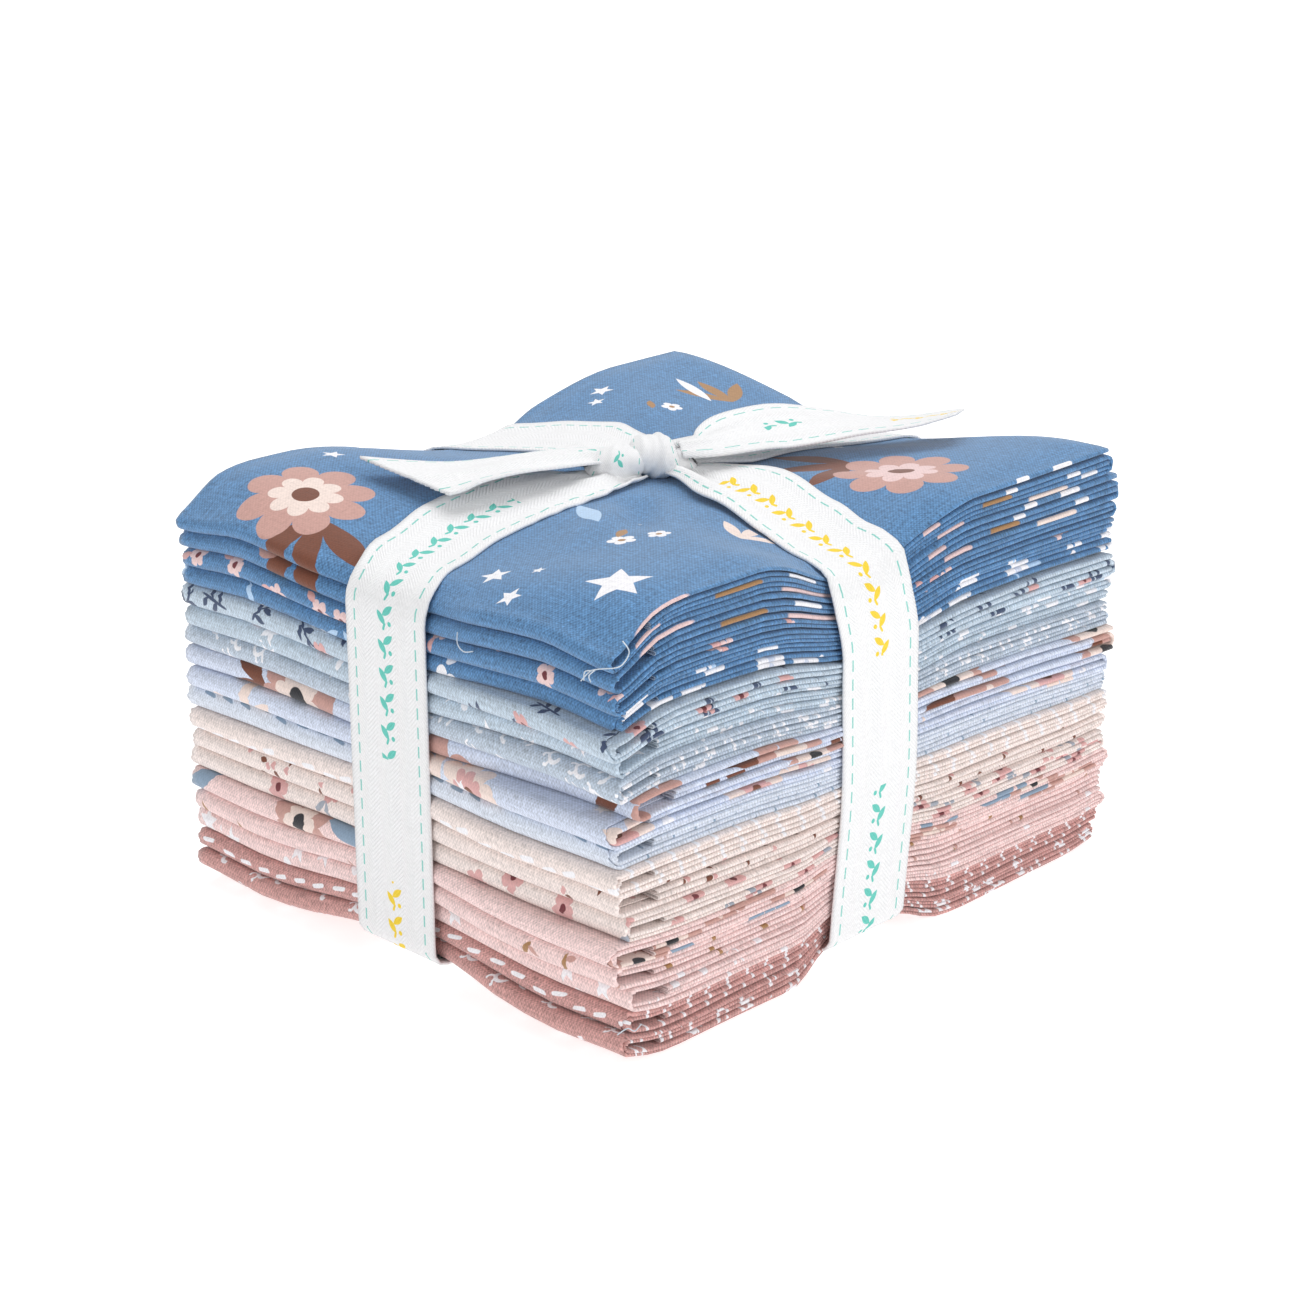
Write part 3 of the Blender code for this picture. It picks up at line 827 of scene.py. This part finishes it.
PATTERNS = {
    # name: (ground, scattered marks as (spacing, jitter, turned, shift, marks), and what else it has)
    "main_denim": (DENIM, (), MAIN_PRINT, MAIN_TILE, RIDGE_PRINT),
    "small_flowers_denim": (DENIM, (
        (14, 0.7, 360, 3, (*blossom(0, 0, 2.6, 0, PALE_PINK, WINE), ("leaf", PINK, 1.8, 0.7, 3.6, 1.0, 30))),
    )),
    "big_blossoms_denim": (DENIM, (
        (17, 0.6, 360, 11, (*blossom(0, 0, 4.2, 0, WHITE, LAVENDER), ("leaf", SKY, 2.6, 0.9, 5.4, 1.5, 25))),
    )),
    "sprigs_mist": (MIST, (
        (13, 0.6, 360, 5, (
            ("dash", NAVY, 4.2, 0.28, 0, 0, 0),
            ("leaf", NAVY, 1.5, 0.6, -1.6, 1.2, 50), ("leaf", NAVY, 1.5, 0.6, -0.2, -1.2, -50),
            ("leaf", NAVY, 1.5, 0.6, 1.4, 1.2, 50), ("leaf", NAVY, 1.4, 0.55, 2.9, -1.1, -50),
        )),
        (19, 0.7, 360, 31, blossom(0, 0, 2.4, 0, PINK, WINE)),
    )),
    "stars_mist": (MIST, (
        (11, 0.7, 360, 7, (("star", WHITE, 3.2, 3.2, 0, 0, 0), ("oval", WHITE, 1.3, 0.8, 4.2, 1.4, 20))),
    )),
    "hooks_slate": (SLATE, (
        (7.5, 0.5, 360, 2, (("hook", WHITE, 1.9, 1.9, 0, 0, 0), ("hook", WHITE, 1.3, 1.3, 1.8, 1.4, 180))),
    )),
    "blooms_lavender": (LAVENDER, (
        (52, 0.4, 360, 23, (*sprig(9, 2, 8, 0, RUST), *bloom(0, 0, 12, 0, DUSTY, CREAM, BLACK))),
    )),
    "bits_lavender": (LAVENDER, (
        (44, 0.4, 360, 14, (*bloom(0, 0, 9, 0, CREAM, PINK, RUST), *sprig(8, -3, 6, -20, CREAM))),
        (19, 0.8, 360, 6, (("star", WHITE, 2.0, 2.0, 0, 0, 0),)),
    )),
    "dashes_ice": (ICE, (
        (6.2, 0.15, 12, 1, (("dash", STEEL, 2.0, 0.36, 0, 0, 0),)),
    )),
    "dashes_linen": (LINEN, (
        (6.2, 0.2, 12, 9, (("dash", WHITE, 2.0, 0.5, 0, 0, 0),)),
    )),
    "bits_linen": (LINEN, (
        (7.0, 0.8, 360, 4, (("leaf", RUST, 1.2, 0.5, 0, 0, 0), ("oval", PINK, 0.7, 0.7, 1.8, 0.6, 0))),
    )),
    "roses_linen": (LINEN, (
        (15, 0.6, 360, 8, (
            *blossom(0, 0, 3.0, 0, PINK, WINE),
            ("leaf", GREY, 2.0, 0.7, 4.2, 1.1, 35), ("leaf", GREY, 1.8, 0.6, 4.0, -1.2, -35),
        )),
    )),
    "blooms_blush": (BLUSH, (
        (46, 0.4, 360, 17, (*sprig(8, 0, 7, 0, STEEL), *bloom(0, 0, 9, 0, DUSTY, CREAM, BLACK))),
    )),
    "bits_blush": (BLUSH, (
        (12, 0.8, 360, 12, (("leaf", OCHRE, 1.9, 0.6, 0, 0, 0), ("leaf", DUSTY, 1.5, 0.5, 1.6, 1.4, 60))),
    )),
    "stars_blush": (BLUSH, (
        (14, 0.7, 360, 19, (("star", WHITE, 2.8, 2.8, 0, 0, 0), ("oval", WHITE, 1.4, 1.0, 5, 1, 10))),
    )),
    "dashes_rose": (ROSE, (
        (6.2, 0.2, 12, 16, (("dash", WHITE, 1.9, 0.4, 0, 0, 0),)),
    )),
    "curls_rose": (ROSE, (
        (8.5, 0.5, 90, 13, (("hook", WHITE, 1.9, 1.9, 0, 0, 0), ("hook", WHITE, 1.2, 1.2, 1.5, 2.0, 200))),
    )),
}
PRINTS = {name: cotton(name, *pattern) for name, pattern in PATTERNS.items()}
GROUNDS = {
    "denim": DENIM, "mist": MIST, "slate": SLATE, "lavender": LAVENDER,
    "ice": ICE, "cream": LINEN, "blush": BLUSH, "rose": ROSE,
}


def paled(colour):
    """The back of a print: the ground shows through, paler."""
    return tuple(mix(channel, 0.85, 0.3) for channel in colour)


BACKS = {slot: cotton(f"back_{slot}", paled(ground), ()) for slot, ground in GROUNDS.items()}

# The eighteen cuts from the top down: how far the outer fold strays outwards at the front corner
# and at the left one, the far side, the ridges and the back, in mm, and whether the free edge is up
CUTS = (
    # fold at front, fold at left, far, ridge, back, free edge up, ridges pushed back, slot, print
    (1.5, 1.0, -1.0, 0.0, 0.5, True, (4,), "denim", "main_denim"),
    (1.5, 0.6, 1.5, 0.6, 0.0, True, (1, 4), "denim", "main_denim"),
    (1.8, 0.8, 0.3, 0.8, -0.8, False, (2,), "denim", "small_flowers_denim"),
    (-0.8, 0.3, 1.4, -0.4, 0.4, True, (0, 3), "denim", "big_blossoms_denim"),
    (2.2, 0.6, 1.0, 0.9, 0.8, True, (5, 2), "mist", "sprigs_mist"),
    (-0.8, 0.2, 1.6, -0.6, -0.5, False, (1,), "mist", "stars_mist"),
    (0.4, 0.0, 0.4, 0.4, 0.6, True, (3,), "slate", "hooks_slate"),
    (-4.0, 0.8, 1.2, 1.6, 0.0, True, (4, 1), "lavender", "blooms_lavender"),
    (2.2, 0.9, 0.2, 0.2, -0.9, True, (2, 5), "lavender", "bits_lavender"),
    (0.5, 0.2, 1.4, -0.5, 0.7, False, (0,), "ice", "dashes_ice"),
    (1.7, 0.6, 1.0, 0.7, 0.2, True, (3,), "cream", "dashes_linen"),
    (0.0, 0.4, 1.7, -0.2, -0.6, True, (1, 4), "cream", "bits_linen"),
    (-1.8, 0.0, 0.8, 0.5, 0.9, True, (2,), "cream", "roses_linen"),
    (1.9, 0.7, 1.8, 0.9, 0.0, False, (5,), "blush", "blooms_blush"),
    (0.6, 0.1, 1.5, -0.4, -0.7, True, (1, 3), "blush", "bits_blush"),
    (-2.4, -0.4, 0.9, 0.8, 0.5, True, (4,), "blush", "stars_blush"),
    (-2.4, -0.6, 0.6, 0.0, 0.3, True, (0, 2), "rose", "dashes_rose"),
    (-1.0, 0.2, -1.2, 0.6, -0.4, False, (3,), "rose", "curls_rose"),
)
for number, row in enumerate(CUTS, start=1):
    slot, pattern = row[7:]
    name = f"folded_cut_{number:02d}"
    finer = 2 if number == 1 else 1
    piece = add_sheet(name, fold_cut(number, row, finer), CLOTH, (PRINTS[pattern], BACKS[slot]))
    below = f"folded_cut_{number + 1:02d}" if number < CUT_COUNT else "floor"
    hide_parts(f"fat_quarter_{number:02d}")

# The tie: one length of white woven cotton tape, an inch wide, with a coloured running stitch near
# each edge. It runs round the stack both ways like a string round a parcel, under it in a cross.
BAND_SIDE = 1.3 * MM
SHOULDER_TURN = 7.0 * MM
FOOT_TURN = 4.5 * MM
CORNER_STEPS = 8
TOP_STEPS = 14
UNDER_STEPS = 10
SHOULDER_SLOPE = 0.22
BAND_STEP = 2.4 * MM
BAND_COLUMNS = 20
TAPE_GAP = 0.15 * MM + TAPE / 2
PINCHED = 0.42
PINCH_START = 3 * MM
PINCH_END_BEFORE = 26 * MM
PINCH_END_BEHIND = 20 * MM

# Heights of the folds that run out from under the knot, in mm
FOLD_HEIGHT = 1.5
SOFT_FOLD_HEIGHT = 1.1
FOLDED_OVER = 1.4
RIPPLE = 0.22

# The tape's weave, its running stitches and the garland that stands in for its printed words
STITCH_INSET = 2.7 * MM
STITCH_LENGTH = 2.7 * MM
STITCH_PITCH = 4.3 * MM
STITCH_WIDTH = 0.55 * MM
TEAL = (0.13, 0.56, 0.48)
YELLOW = (0.86, 0.62, 0.04)
TAPE_WHITE = (0.83, 0.83, 0.84)
TAPE_PITCH = 0.5 * MM
TAPE_CONTRAST = 0.05
TAPE_ROUGHNESS = 0.8
TAPE_DEPTH = 0.09 * MM
STITCH_COVER = 0.85
TWILL_PITCH = 1.0 * MM
TWILL_TURN = 3.2 * MM
CORD_PITCH = 0.55 * MM
GARLAND_PITCH = 6.4 * MM
GARLAND = (
    # shape, half length, half width, x, y and turn, in mm and degrees
    ("leaf", 1.9, 0.8, -0.8, 1.7, 40),
    ("leaf", 1.9, 0.8, 1.0, 3.5, 130),
    ("oval", 0.55, 0.55, -1.5, 4.4, 0),
    ("dash", 0.9, 0.32, 0.2, 5.3, 70),
)


def woven_tape(name, ornaments):
    """The tape's finish. ornaments are stretches of small leaves: from, to along the tape in mm, and ink."""
    material, tree, place = new_cloth(name)
    split = put(tree, "ShaderNodeSeparateXYZ", place)
    across, along = split.outputs[0], split.outputs[1]
    beside = calc(tree, "SUBTRACT", calc(tree, "ABSOLUTE", across), 0.5 * TAPE_WIDTH - STITCH_INSET)
    thin = calc(tree, "SUBTRACT", 0.5 * STITCH_WIDTH, calc(tree, "ABSOLUTE", beside))
    beat = calc(tree, "PINGPONG", along, STITCH_PITCH / 2)
    long = calc(tree, "SUBTRACT", STITCH_LENGTH / 2, beat)
    stitch = calc(tree, "DIVIDE", calc(tree, "MINIMUM", thin, long), INK_EDGE)
    stitch.node.use_clamp = True
    colour = blend(tree, calc(tree, "MULTIPLY", stitch, STITCH_COVER), TAPE_WHITE, TEAL)
    repeat = (1.0, GARLAND_PITCH, 1.0)
    for start, end, ink in ornaments:
        wrapped = put(tree, "ShaderNodeVectorMath", place, repeat, (-1.0, 0.0, 0.0), operation="WRAP")
        begun = calc(tree, "GREATER_THAN", along, start * MM)
        inside = calc(tree, "MULTIPLY", begun, calc(tree, "LESS_THAN", along, end * MM))
        marks = [(shape, ink, *rest) for shape, *rest in GARLAND]
        colour = print_marks(tree, colour, wrapped.outputs[0], marks, inside)
    slant = calc(tree, "MULTIPLY_ADD", calc(tree, "PINGPONG", across, TWILL_TURN), 1.1, along)
    twill = calc(tree, "SINE", calc(tree, "MULTIPLY", slant, math.tau / TWILL_PITCH))
    cords = calc(tree, "SINE", calc(tree, "MULTIPLY", across, math.tau / CORD_PITCH))
    tone, height = use_group(tree, weave, place, TAPE_PITCH, TAPE_CONTRAST)
    relief = calc(tree, "MULTIPLY_ADD", cords, 0.3, twill)
    relief = calc(tree, "MULTIPLY_ADD", height, 0.4, relief)
    tone = calc(tree, "MULTIPLY_ADD", relief, 0.03, tone)
    finish_cloth(tree, shaded(tree, colour, tone), TAPE_ROUGHNESS, relief, 0.5, TAPE_DEPTH)
    return material


def corner_turn(before, point, after, radius):
    """A round corner between two straight runs, in even steps."""
    into = (before - point).normalized()
    out = (after - point).normalized()
    half_angle = into.angle(out) / 2
    centre = point + (into + out).normalized() * radius / math.sin(half_angle)
    first = point + into * radius / math.tan(half_angle) - centre
    last = point + out * radius / math.tan(half_angle) - centre
    first, last = first.normalized(), last.normalized()
    return [centre + first.slerp(last, step / CORNER_STEPS) * radius for step in range(CORNER_STEPS + 1)]


def evenly(line, step):
    """Points along a line at even steps, each with its run so far."""
    runs = [0.0]
    for start, end in zip(line, line[1:]):
        runs.append(runs[-1] + (end - start).length)
    count = max(2, round(runs[-1] / step))
    points = []
    at = 0
    for number in range(count + 1):
        run = runs[-1] * number / count
        while at < len(runs) - 2 and runs[at + 1] < run:
            at += 1
        share = (run - runs[at]) / (runs[at + 1] - runs[at])
        points.append((line[at].lerp(line[at + 1], share), run))
    return points


def half_band(half, place):
    """Half of a band in its own plane, as (run, height), from under the knot to under the stack."""
    def on_cloth(run, level, gap):
        return Vector((run, settle(*place(run, 0.0), level) + gap))

    side = half + BAND_SIDE
    inner = half - SHOULDER_TURN
    top = [on_cloth(step * inner / TOP_STEPS, STACK, TAPE_GAP) for step in range(1, TOP_STEPS + 1)]
    shoulder = Vector((side, top[-1].y - SHOULDER_SLOPE * (side - inner)))
    foot = Vector((side, on_cloth(half - 2 * MM, 0.0, -TAPE_GAP).y))
    reach_in = half - FOOT_TURN
    under = [on_cloth(step * reach_in / UNDER_STEPS, 0.0, -TAPE_GAP) for step in range(UNDER_STEPS, -1, -1)]
    round_shoulder = corner_turn(top[-1], shoulder, foot, SHOULDER_TURN * 0.9)
    round_foot = corner_turn(shoulder, foot, under[0], FOOT_TURN * 0.8)
    return top + round_shoulder + round_foot + under


def pinch(run):
    """Width of a band as a share of the tape's, as it runs in under the knot."""
    return mix(PINCHED, 1.0, ramp(abs(run), PINCH_START, PINCH_END_BEFORE if run < 0 else PINCH_END_BEHIND))


def tie_band(name, half, place, drift, below, finish):
    """One band round the stack, from one side of the knot to the other, as a grid."""
    halves = []
    for sign in (-1.0, 1.0):
        line = half_band(half, lambda run, across, sign=sign: place(sign * run, across))
        halves.append([Vector((sign * point.x, point.y)) for point in line])
    points = evenly(halves[0] + halves[1][::-1][1:], BAND_STEP)
    middle = STACK / 2

    def spot(column, row):
        flat, run = points[row]
        across = column / BAND_COLUMNS - 0.5
        on_top = flat.y > middle
        narrow = pinch(flat.x) if on_top else 1.0
        up = flat.y
        x, y = place(flat.x, across * TAPE_WIDTH * narrow + drift(flat.x, flat.y) * MM)
        if on_top and abs(flat.x) < half + 0.5 * MM:
            up += settle(x, y, STACK) - settle(*place(flat.x, 0.0), STACK)
            up += rise(flat.x, across, narrow)
        if not on_top and abs(flat.x) < half:
            up -= below * ramp(half - abs(flat.x), 10 * MM, 50 * MM)
        return Vector((x, y, up)), (across * TAPE_WIDTH, run)

    def rise(run, across, narrow):
        """How far the tape stands up from the cloth, in folds that run out from the knot."""
        gathered = math.sqrt(max(0.0, 1.0 - narrow * narrow))
        fading = 1.0 - ramp(abs(run), 12 * MM, 46 * MM)
        waves = 0.5 + 0.5 * math.cos(math.tau * 2.5 * across + (0.6 if run > 0 else 2.4))
        soft = 0.5 + 0.5 * math.cos(math.tau * 1.2 * across + (2.0 if run > 0 else 0.4))
        raised = FOLD_HEIGHT * gathered * waves + SOFT_FOLD_HEIGHT * fading * soft * fading
        pulled = 1.0 - ramp(abs(run), 20 * MM, 58 * MM)
        if name == "band_crosswise" and run < 0:
            ridge = FOLD_HEIGHT * math.exp(-((across + 0.30) / 0.10) ** 2)
            groove = SOFT_FOLD_HEIGHT * math.exp(-((across + 0.08) / 0.13) ** 2)
            raised = pulled * (FOLDED_OVER + ridge - groove)
        if name == "band_lengthwise" and run < 0:
            raised += RIPPLE * pulled * math.cos(math.tau * (3.2 * across + run / (7 * MM)))
        return raised * MM

    mesh = lay_grid(BAND_COLUMNS, len(points) - 1, spot)
    piece = add_sheet(name, mesh, TAPE, (finish,))
    return piece, points[-1][1]


def lengthwise_place(run, across):
    return run, across


def crosswise_place(run, across):
    return across, run


def along_table(table, value):
    """A value read from a table of (place, value), smoothly."""
    for (start, low), (end, high) in zip(table, table[1:]):
        if value < end:
            return mix(low, high, ramp(value, start, end))
    return table[-1][1]


# How far each band strays aside over the top, as (run, aside) in mm, and the crosswise one down its
# front, as (share of the height, aside)
LENGTHWISE_STRAY = ((-80, -0.6), (-66, 4.4), (-50, 7.6), (-30, 7.4), (-2, 1.6), (6, 0.4), (30, 0.0))
CROSSWISE_STRAY = (
    (-67, -4.6), (-56, -3.4), (-44, -0.8), (-26, 2.6), (-10, 3.8), (4, 1.4), (12, 3.2), (20, 5.8),
    (32, 9.0), (46, 8.8), (60, 6.2), (67, 4.0),
)
FRONT_STRAY = ((0, -3.9), (0.5, -0.6), (0.8, -1.2), (1.0, -4.6))
BACK_STRAY = 3.4


def lengthwise_drift(run, height):
    on_top = along_table(LENGTHWISE_STRAY, run / MM)
    on_side = mix(-1.4, -0.6, height / STACK)
    return mix(on_side if run < 0 else 0.0, on_top, ramp(height, 0.9 * STACK, 1.02 * STACK))


def crosswise_drift(run, height):
    on_top = along_table(CROSSWISE_STRAY, run / MM)
    share = height / STACK
    on_side = along_table(FRONT_STRAY, share) if run < 0 else BACK_STRAY * share
    return mix(on_side, on_top, ramp(height, 0.9 * STACK, 1.02 * STACK))


BANDS = (
    ("band_lengthwise", "tape_lengthwise", HALF_X, lengthwise_place, lengthwise_drift, TAPE + 0.35 * MM,
     ((30, 112, TEAL), (140, 172, YELLOW))),
    ("band_crosswise", "tape_crosswise", HALF_Y, crosswise_place, crosswise_drift, 0.0,
     ((14, 82, YELLOW), (112, 156, TEAL))),
)
for name, node, half, place, drift, below, ornaments in BANDS:
    piece, length = tie_band(name, half, place, drift, below, woven_tape(f"{name}_weave", ornaments))
    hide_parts(node)
    flat = (TAPE_WIDTH, round(length, 3))

# The two free ends of the tape: they come out of the knot gathered, flatten, and lie over the
# pillows, cut off at a slant. Each is a strip through rows that keep close to its solid's.
LEFT_TAIL = (
    # x, y and z in mm, tilt in degrees, width in mm
    (-4.5, 4.0, 97.4, 0.0, 8.0),
    (-11.4, 8.6, 97.9, 2.0, 12.0),
    (-19.8, 11.7, 98.5, 5.0, 16.0),
    (-29.3, 16.0, 98.6, 8.0, 20.0),
    (-38.7, 21.0, 98.2, 5.0, 22.5),
    (-48.8, 27.6, 98.6, -3.0, 24.0),
)
RIGHT_TAIL = (
    # x, y and z in mm, tilt in degrees, width in mm
    (4.5, -4.0, 98.6, 0.0, 9.0),
    (10.4, -7.8, 99.5, 2.0, 14.0),
    (21.8, -9.0, 100.4, 4.0, 23.0),
    (32.3, -12.4, 100.6, 5.0, 24.0),
    (42.8, -16.6, 99.7, -2.0, 24.0),
    (52.3, -20.9, 98.4, -9.0, 24.0),
    (61.8, -24.9, 97.7, -15.0, 24.0),
    (71.2, -28.6, 98.0, -19.0, 24.0),
)
TAIL_STEPS = 8
TAIL_COLUMNS = 36
TAIL_ARCH = 1.6 * MM
TAIL_WAVE = 0.7 * MM
CUT_REACH = 18 * MM
FRAY = 0.5 * MM


def curve_value(before, start, end, after, t):
    """A value on the smooth curve from start to end, with its slopes set by the neighbours."""
    slope = end - before
    bend = 2 * before - 5 * start + 4 * end - after
    twist = 3 * start - before - 3 * end + after
    return start + 0.5 * (slope * t + bend * t**2 + twist * t**3)


def smooth_rows(rows, steps):
    """The rows of a table with this many smooth steps from each to the next."""
    result = []
    for number in range(len(rows) - 1):
        before = rows[max(number - 1, 0)]
        after = rows[min(number + 2, len(rows) - 1)]
        for step in range(steps):
            columns = zip(before, rows[number], rows[number + 1], after)
            result.append([curve_value(*column, step / steps) for column in columns])
    result.append(rows[-1])
    return result


def lay_tail(name, node, table, cut, finish):
    """One free end of the tape, as a grid along its rows, cut at a slant of this length."""
    places = smooth_rows(table, TAIL_STEPS)
    middles = [Vector(row[:3]) * MM for row in places]
    runs = [0.0]
    for start, end in zip(middles, middles[1:]):
        runs.append(runs[-1] + (end - start).length)

    def spot(column, row):
        tilt, width = places[row][3:]
        run = (middles[min(row + 1, len(middles) - 1)] - middles[max(row - 1, 0)]).normalized()
        level = run.cross(Vector((0.0, 0.0, 1.0))).normalized()
        up = level.cross(run)
        across = level * math.cos(math.radians(tilt)) - up * math.sin(math.radians(tilt))
        share = column / TAIL_COLUMNS - 0.5
        narrow = width * MM / TAPE_WIDTH
        gathered = math.sqrt(max(0.0, 1.0 - narrow * narrow))
        arch = TAIL_ARCH * gathered * math.cos(math.pi * share)
        waves = TAIL_WAVE * gathered * math.cos(math.tau * 2.2 * share + 0.8)
        slant = cut * share * ramp(runs[row], runs[-1] - CUT_REACH, runs[-1])
        if row == len(places) - 1:
            slant += FRAY * (0.6 * (column % 2) + noise.noise(Vector((column * 0.7, 3.0, 0.0))))
        point = middles[row] + across * share * width * MM + up * (arch + waves) + run * slant
        return point, (share * TAPE_WIDTH, runs[row] + slant)

    mesh = lay_grid(TAIL_COLUMNS, len(places) - 1, spot)
    piece = add_sheet(name, mesh, TAPE, (finish,))
    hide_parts(node)


TAILS = (
    # name, node, rows, slant of the cut, ornaments
    ("tail_left", "tape_tail_left", LEFT_TAIL, 16 * MM, ((4, 13, TEAL),)),
    ("tail_right", "tape_tail_right", RIGHT_TAIL, -15 * MM, ((22, 32, TEAL), (54, 72, YELLOW))),
)
for name, node, table, cut, ornaments in TAILS:
    lay_tail(name, node, table, cut, woven_tape(f"{name}_weave", ornaments))

# The knot: the tape wrapped once round itself and pulled tight, so that its width is bunched in
# folds. It is a short barrel along the line of the tails, with a smaller one for the bunched tape
# that comes out of it on either side.
KNOT_TURN = math.radians(135)
KNOT_AROUND = 96
KNOT_ALONG = 40
KNOT_FLAT_ROUND = 36
KNOT_END = 0.30
WIDE_FOLD = 0.06
FINE_FOLD = 0.03
KNOT_PARTS = (
    # middle along and aside, low, half length, half width, half height, skew of the folds, flat run
    (-0.6, 0.0, 93.2, 5.8, 6.2, 4.7, 0.45, 0.0),
    (7.9, 3.0, 93.7, 6.1, 5.4, 3.7, -0.35, 44.4),
    (-5.4, 0.4, 94.2, 3.8, 3.6, 2.5, 0.15, 0.0),
)

cage = bmesh.new()
flat = cage.loops.layers.uv.new("flat")
for middle, aside, low, half_length, half_width, half_height, skew, start in KNOT_PARTS:
    before = set(cage.verts)
    bmesh.ops.create_grid(cage, x_segments=KNOT_AROUND, y_segments=KNOT_ALONG, size=0.5)
    spots = {}
    for vertex in set(cage.verts) - before:
        round_share = vertex.co.x + 0.5
        along_share = vertex.co.y * 2.0
        angle = math.tau * round_share
        swirl = along_share + skew * math.sin(angle + 0.7)
        profile = max(0.0, 1.0 - abs(along_share) ** 2.4) ** 0.5
        wide_folds = WIDE_FOLD * math.cos(math.tau * 0.9 * swirl + 0.8)
        fine_folds = FINE_FOLD * math.cos(math.tau * 2.3 * swirl + math.sin(angle))
        round_out = (mix(KNOT_END, 1.0, profile) + (wide_folds + fine_folds) * profile) * MM
        out_y = math.cos(angle) * round_out * half_width + aside * MM
        out_z = math.sin(angle) * round_out * half_height + (low + half_height) * MM
        lean = (1.8 * skew - 0.1 * along_share * half_length) * math.sin(angle)
        out_x = (along_share * half_length + lean + middle) * MM
        turned_x = out_x * math.cos(KNOT_TURN) - out_y * math.sin(KNOT_TURN)
        turned_y = out_x * math.sin(KNOT_TURN) + out_y * math.cos(KNOT_TURN)
        spots[vertex] = (along_share * 0.5 * TAPE_WIDTH, (round_share * KNOT_FLAT_ROUND + start) * MM)
        vertex.co = Vector((turned_x, turned_y, out_z))
    for face in cage.faces:
        if face.verts[0] in spots:
            face.smooth = True
            for loop in face.loops:
                loop[flat].uv = spots[loop.vert]
bmesh.ops.remove_doubles(cage, verts=cage.verts[:], dist=0.01 * MM)
bmesh.ops.recalc_face_normals(cage, faces=cage.faces[:])
knot = into_scene("knot", cage, (woven_tape("knot_weave", ((44.8, 51.2, TEAL),)),))
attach(knot, "root")
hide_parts("tape_knot")

# A few threads have come loose from the raw edges: thin, soft, pale cotton that curls over the
# folds, most of it at the front corner under the first cut.
THREAD = 0.13 * MM
THREAD_STEPS = 6
THREAD_SIDES = 6
LOOSE_THREADS = (
    # places in mm along each thread
    ((-79.6, -68.6, 95.0), (-78.4, -69.2, 92.6), (-80.2, -69.4, 90.7), (-81.7, -68.6, 90.0),
     (-82.1, -65.0, 88.9), (-82.1, -62.6, 87.9), (-82.2, -61.0, 86.4), (-82.0, -59.6, 84.9)),
    ((-82.1, -63.6, 88.3), (-82.4, -62.2, 86.8), (-82.0, -62.3, 85.4)),
    ((-82.1, -62.9, 88.0), (-82.5, -61.2, 87.4), (-82.0, -60.4, 85.2)),
    ((-81.6, -24.0, 85.4), (-82.2, -24.6, 83.2), (-82.2, -26.4, 82.0), (-81.5, -28.4, 82.4)),
    ((-80.5, -67.6, 9.8), (-79.0, -69.0, 11.2), (-76.6, -68.7, 9.6), (-74.6, -68.6, 10.4)),
)
tangle = bmesh.new()
for places in LOOSE_THREADS:
    line = [Vector(row) * MM for row in smooth_rows(places, THREAD_STEPS)]
    rings = []
    for at, point in enumerate(line):
        run = (line[min(at + 1, len(line) - 1)] - line[max(at - 1, 0)]).normalized()
        side = run.orthogonal().normalized()
        other = run.cross(side)
        ring = []
        for step in range(THREAD_SIDES):
            angle = math.tau * step / THREAD_SIDES
            ring.append(tangle.verts.new(point + (side * math.cos(angle) + other * math.sin(angle)) * THREAD))
        rings.append(ring)
    for start, end in zip(rings, rings[1:]):
        bmesh.ops.bridge_loops(tangle, edges=[
            tangle.edges.get((ring[step], ring[step - 1])) or tangle.edges.new((ring[step], ring[step - 1]))
            for ring in (start, end) for step in range(THREAD_SIDES)
        ])
for face in tangle.faces:
    face.smooth = True
threads = into_scene("loose_threads", tangle, (BACKS["mist"],))
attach(threads, "root")
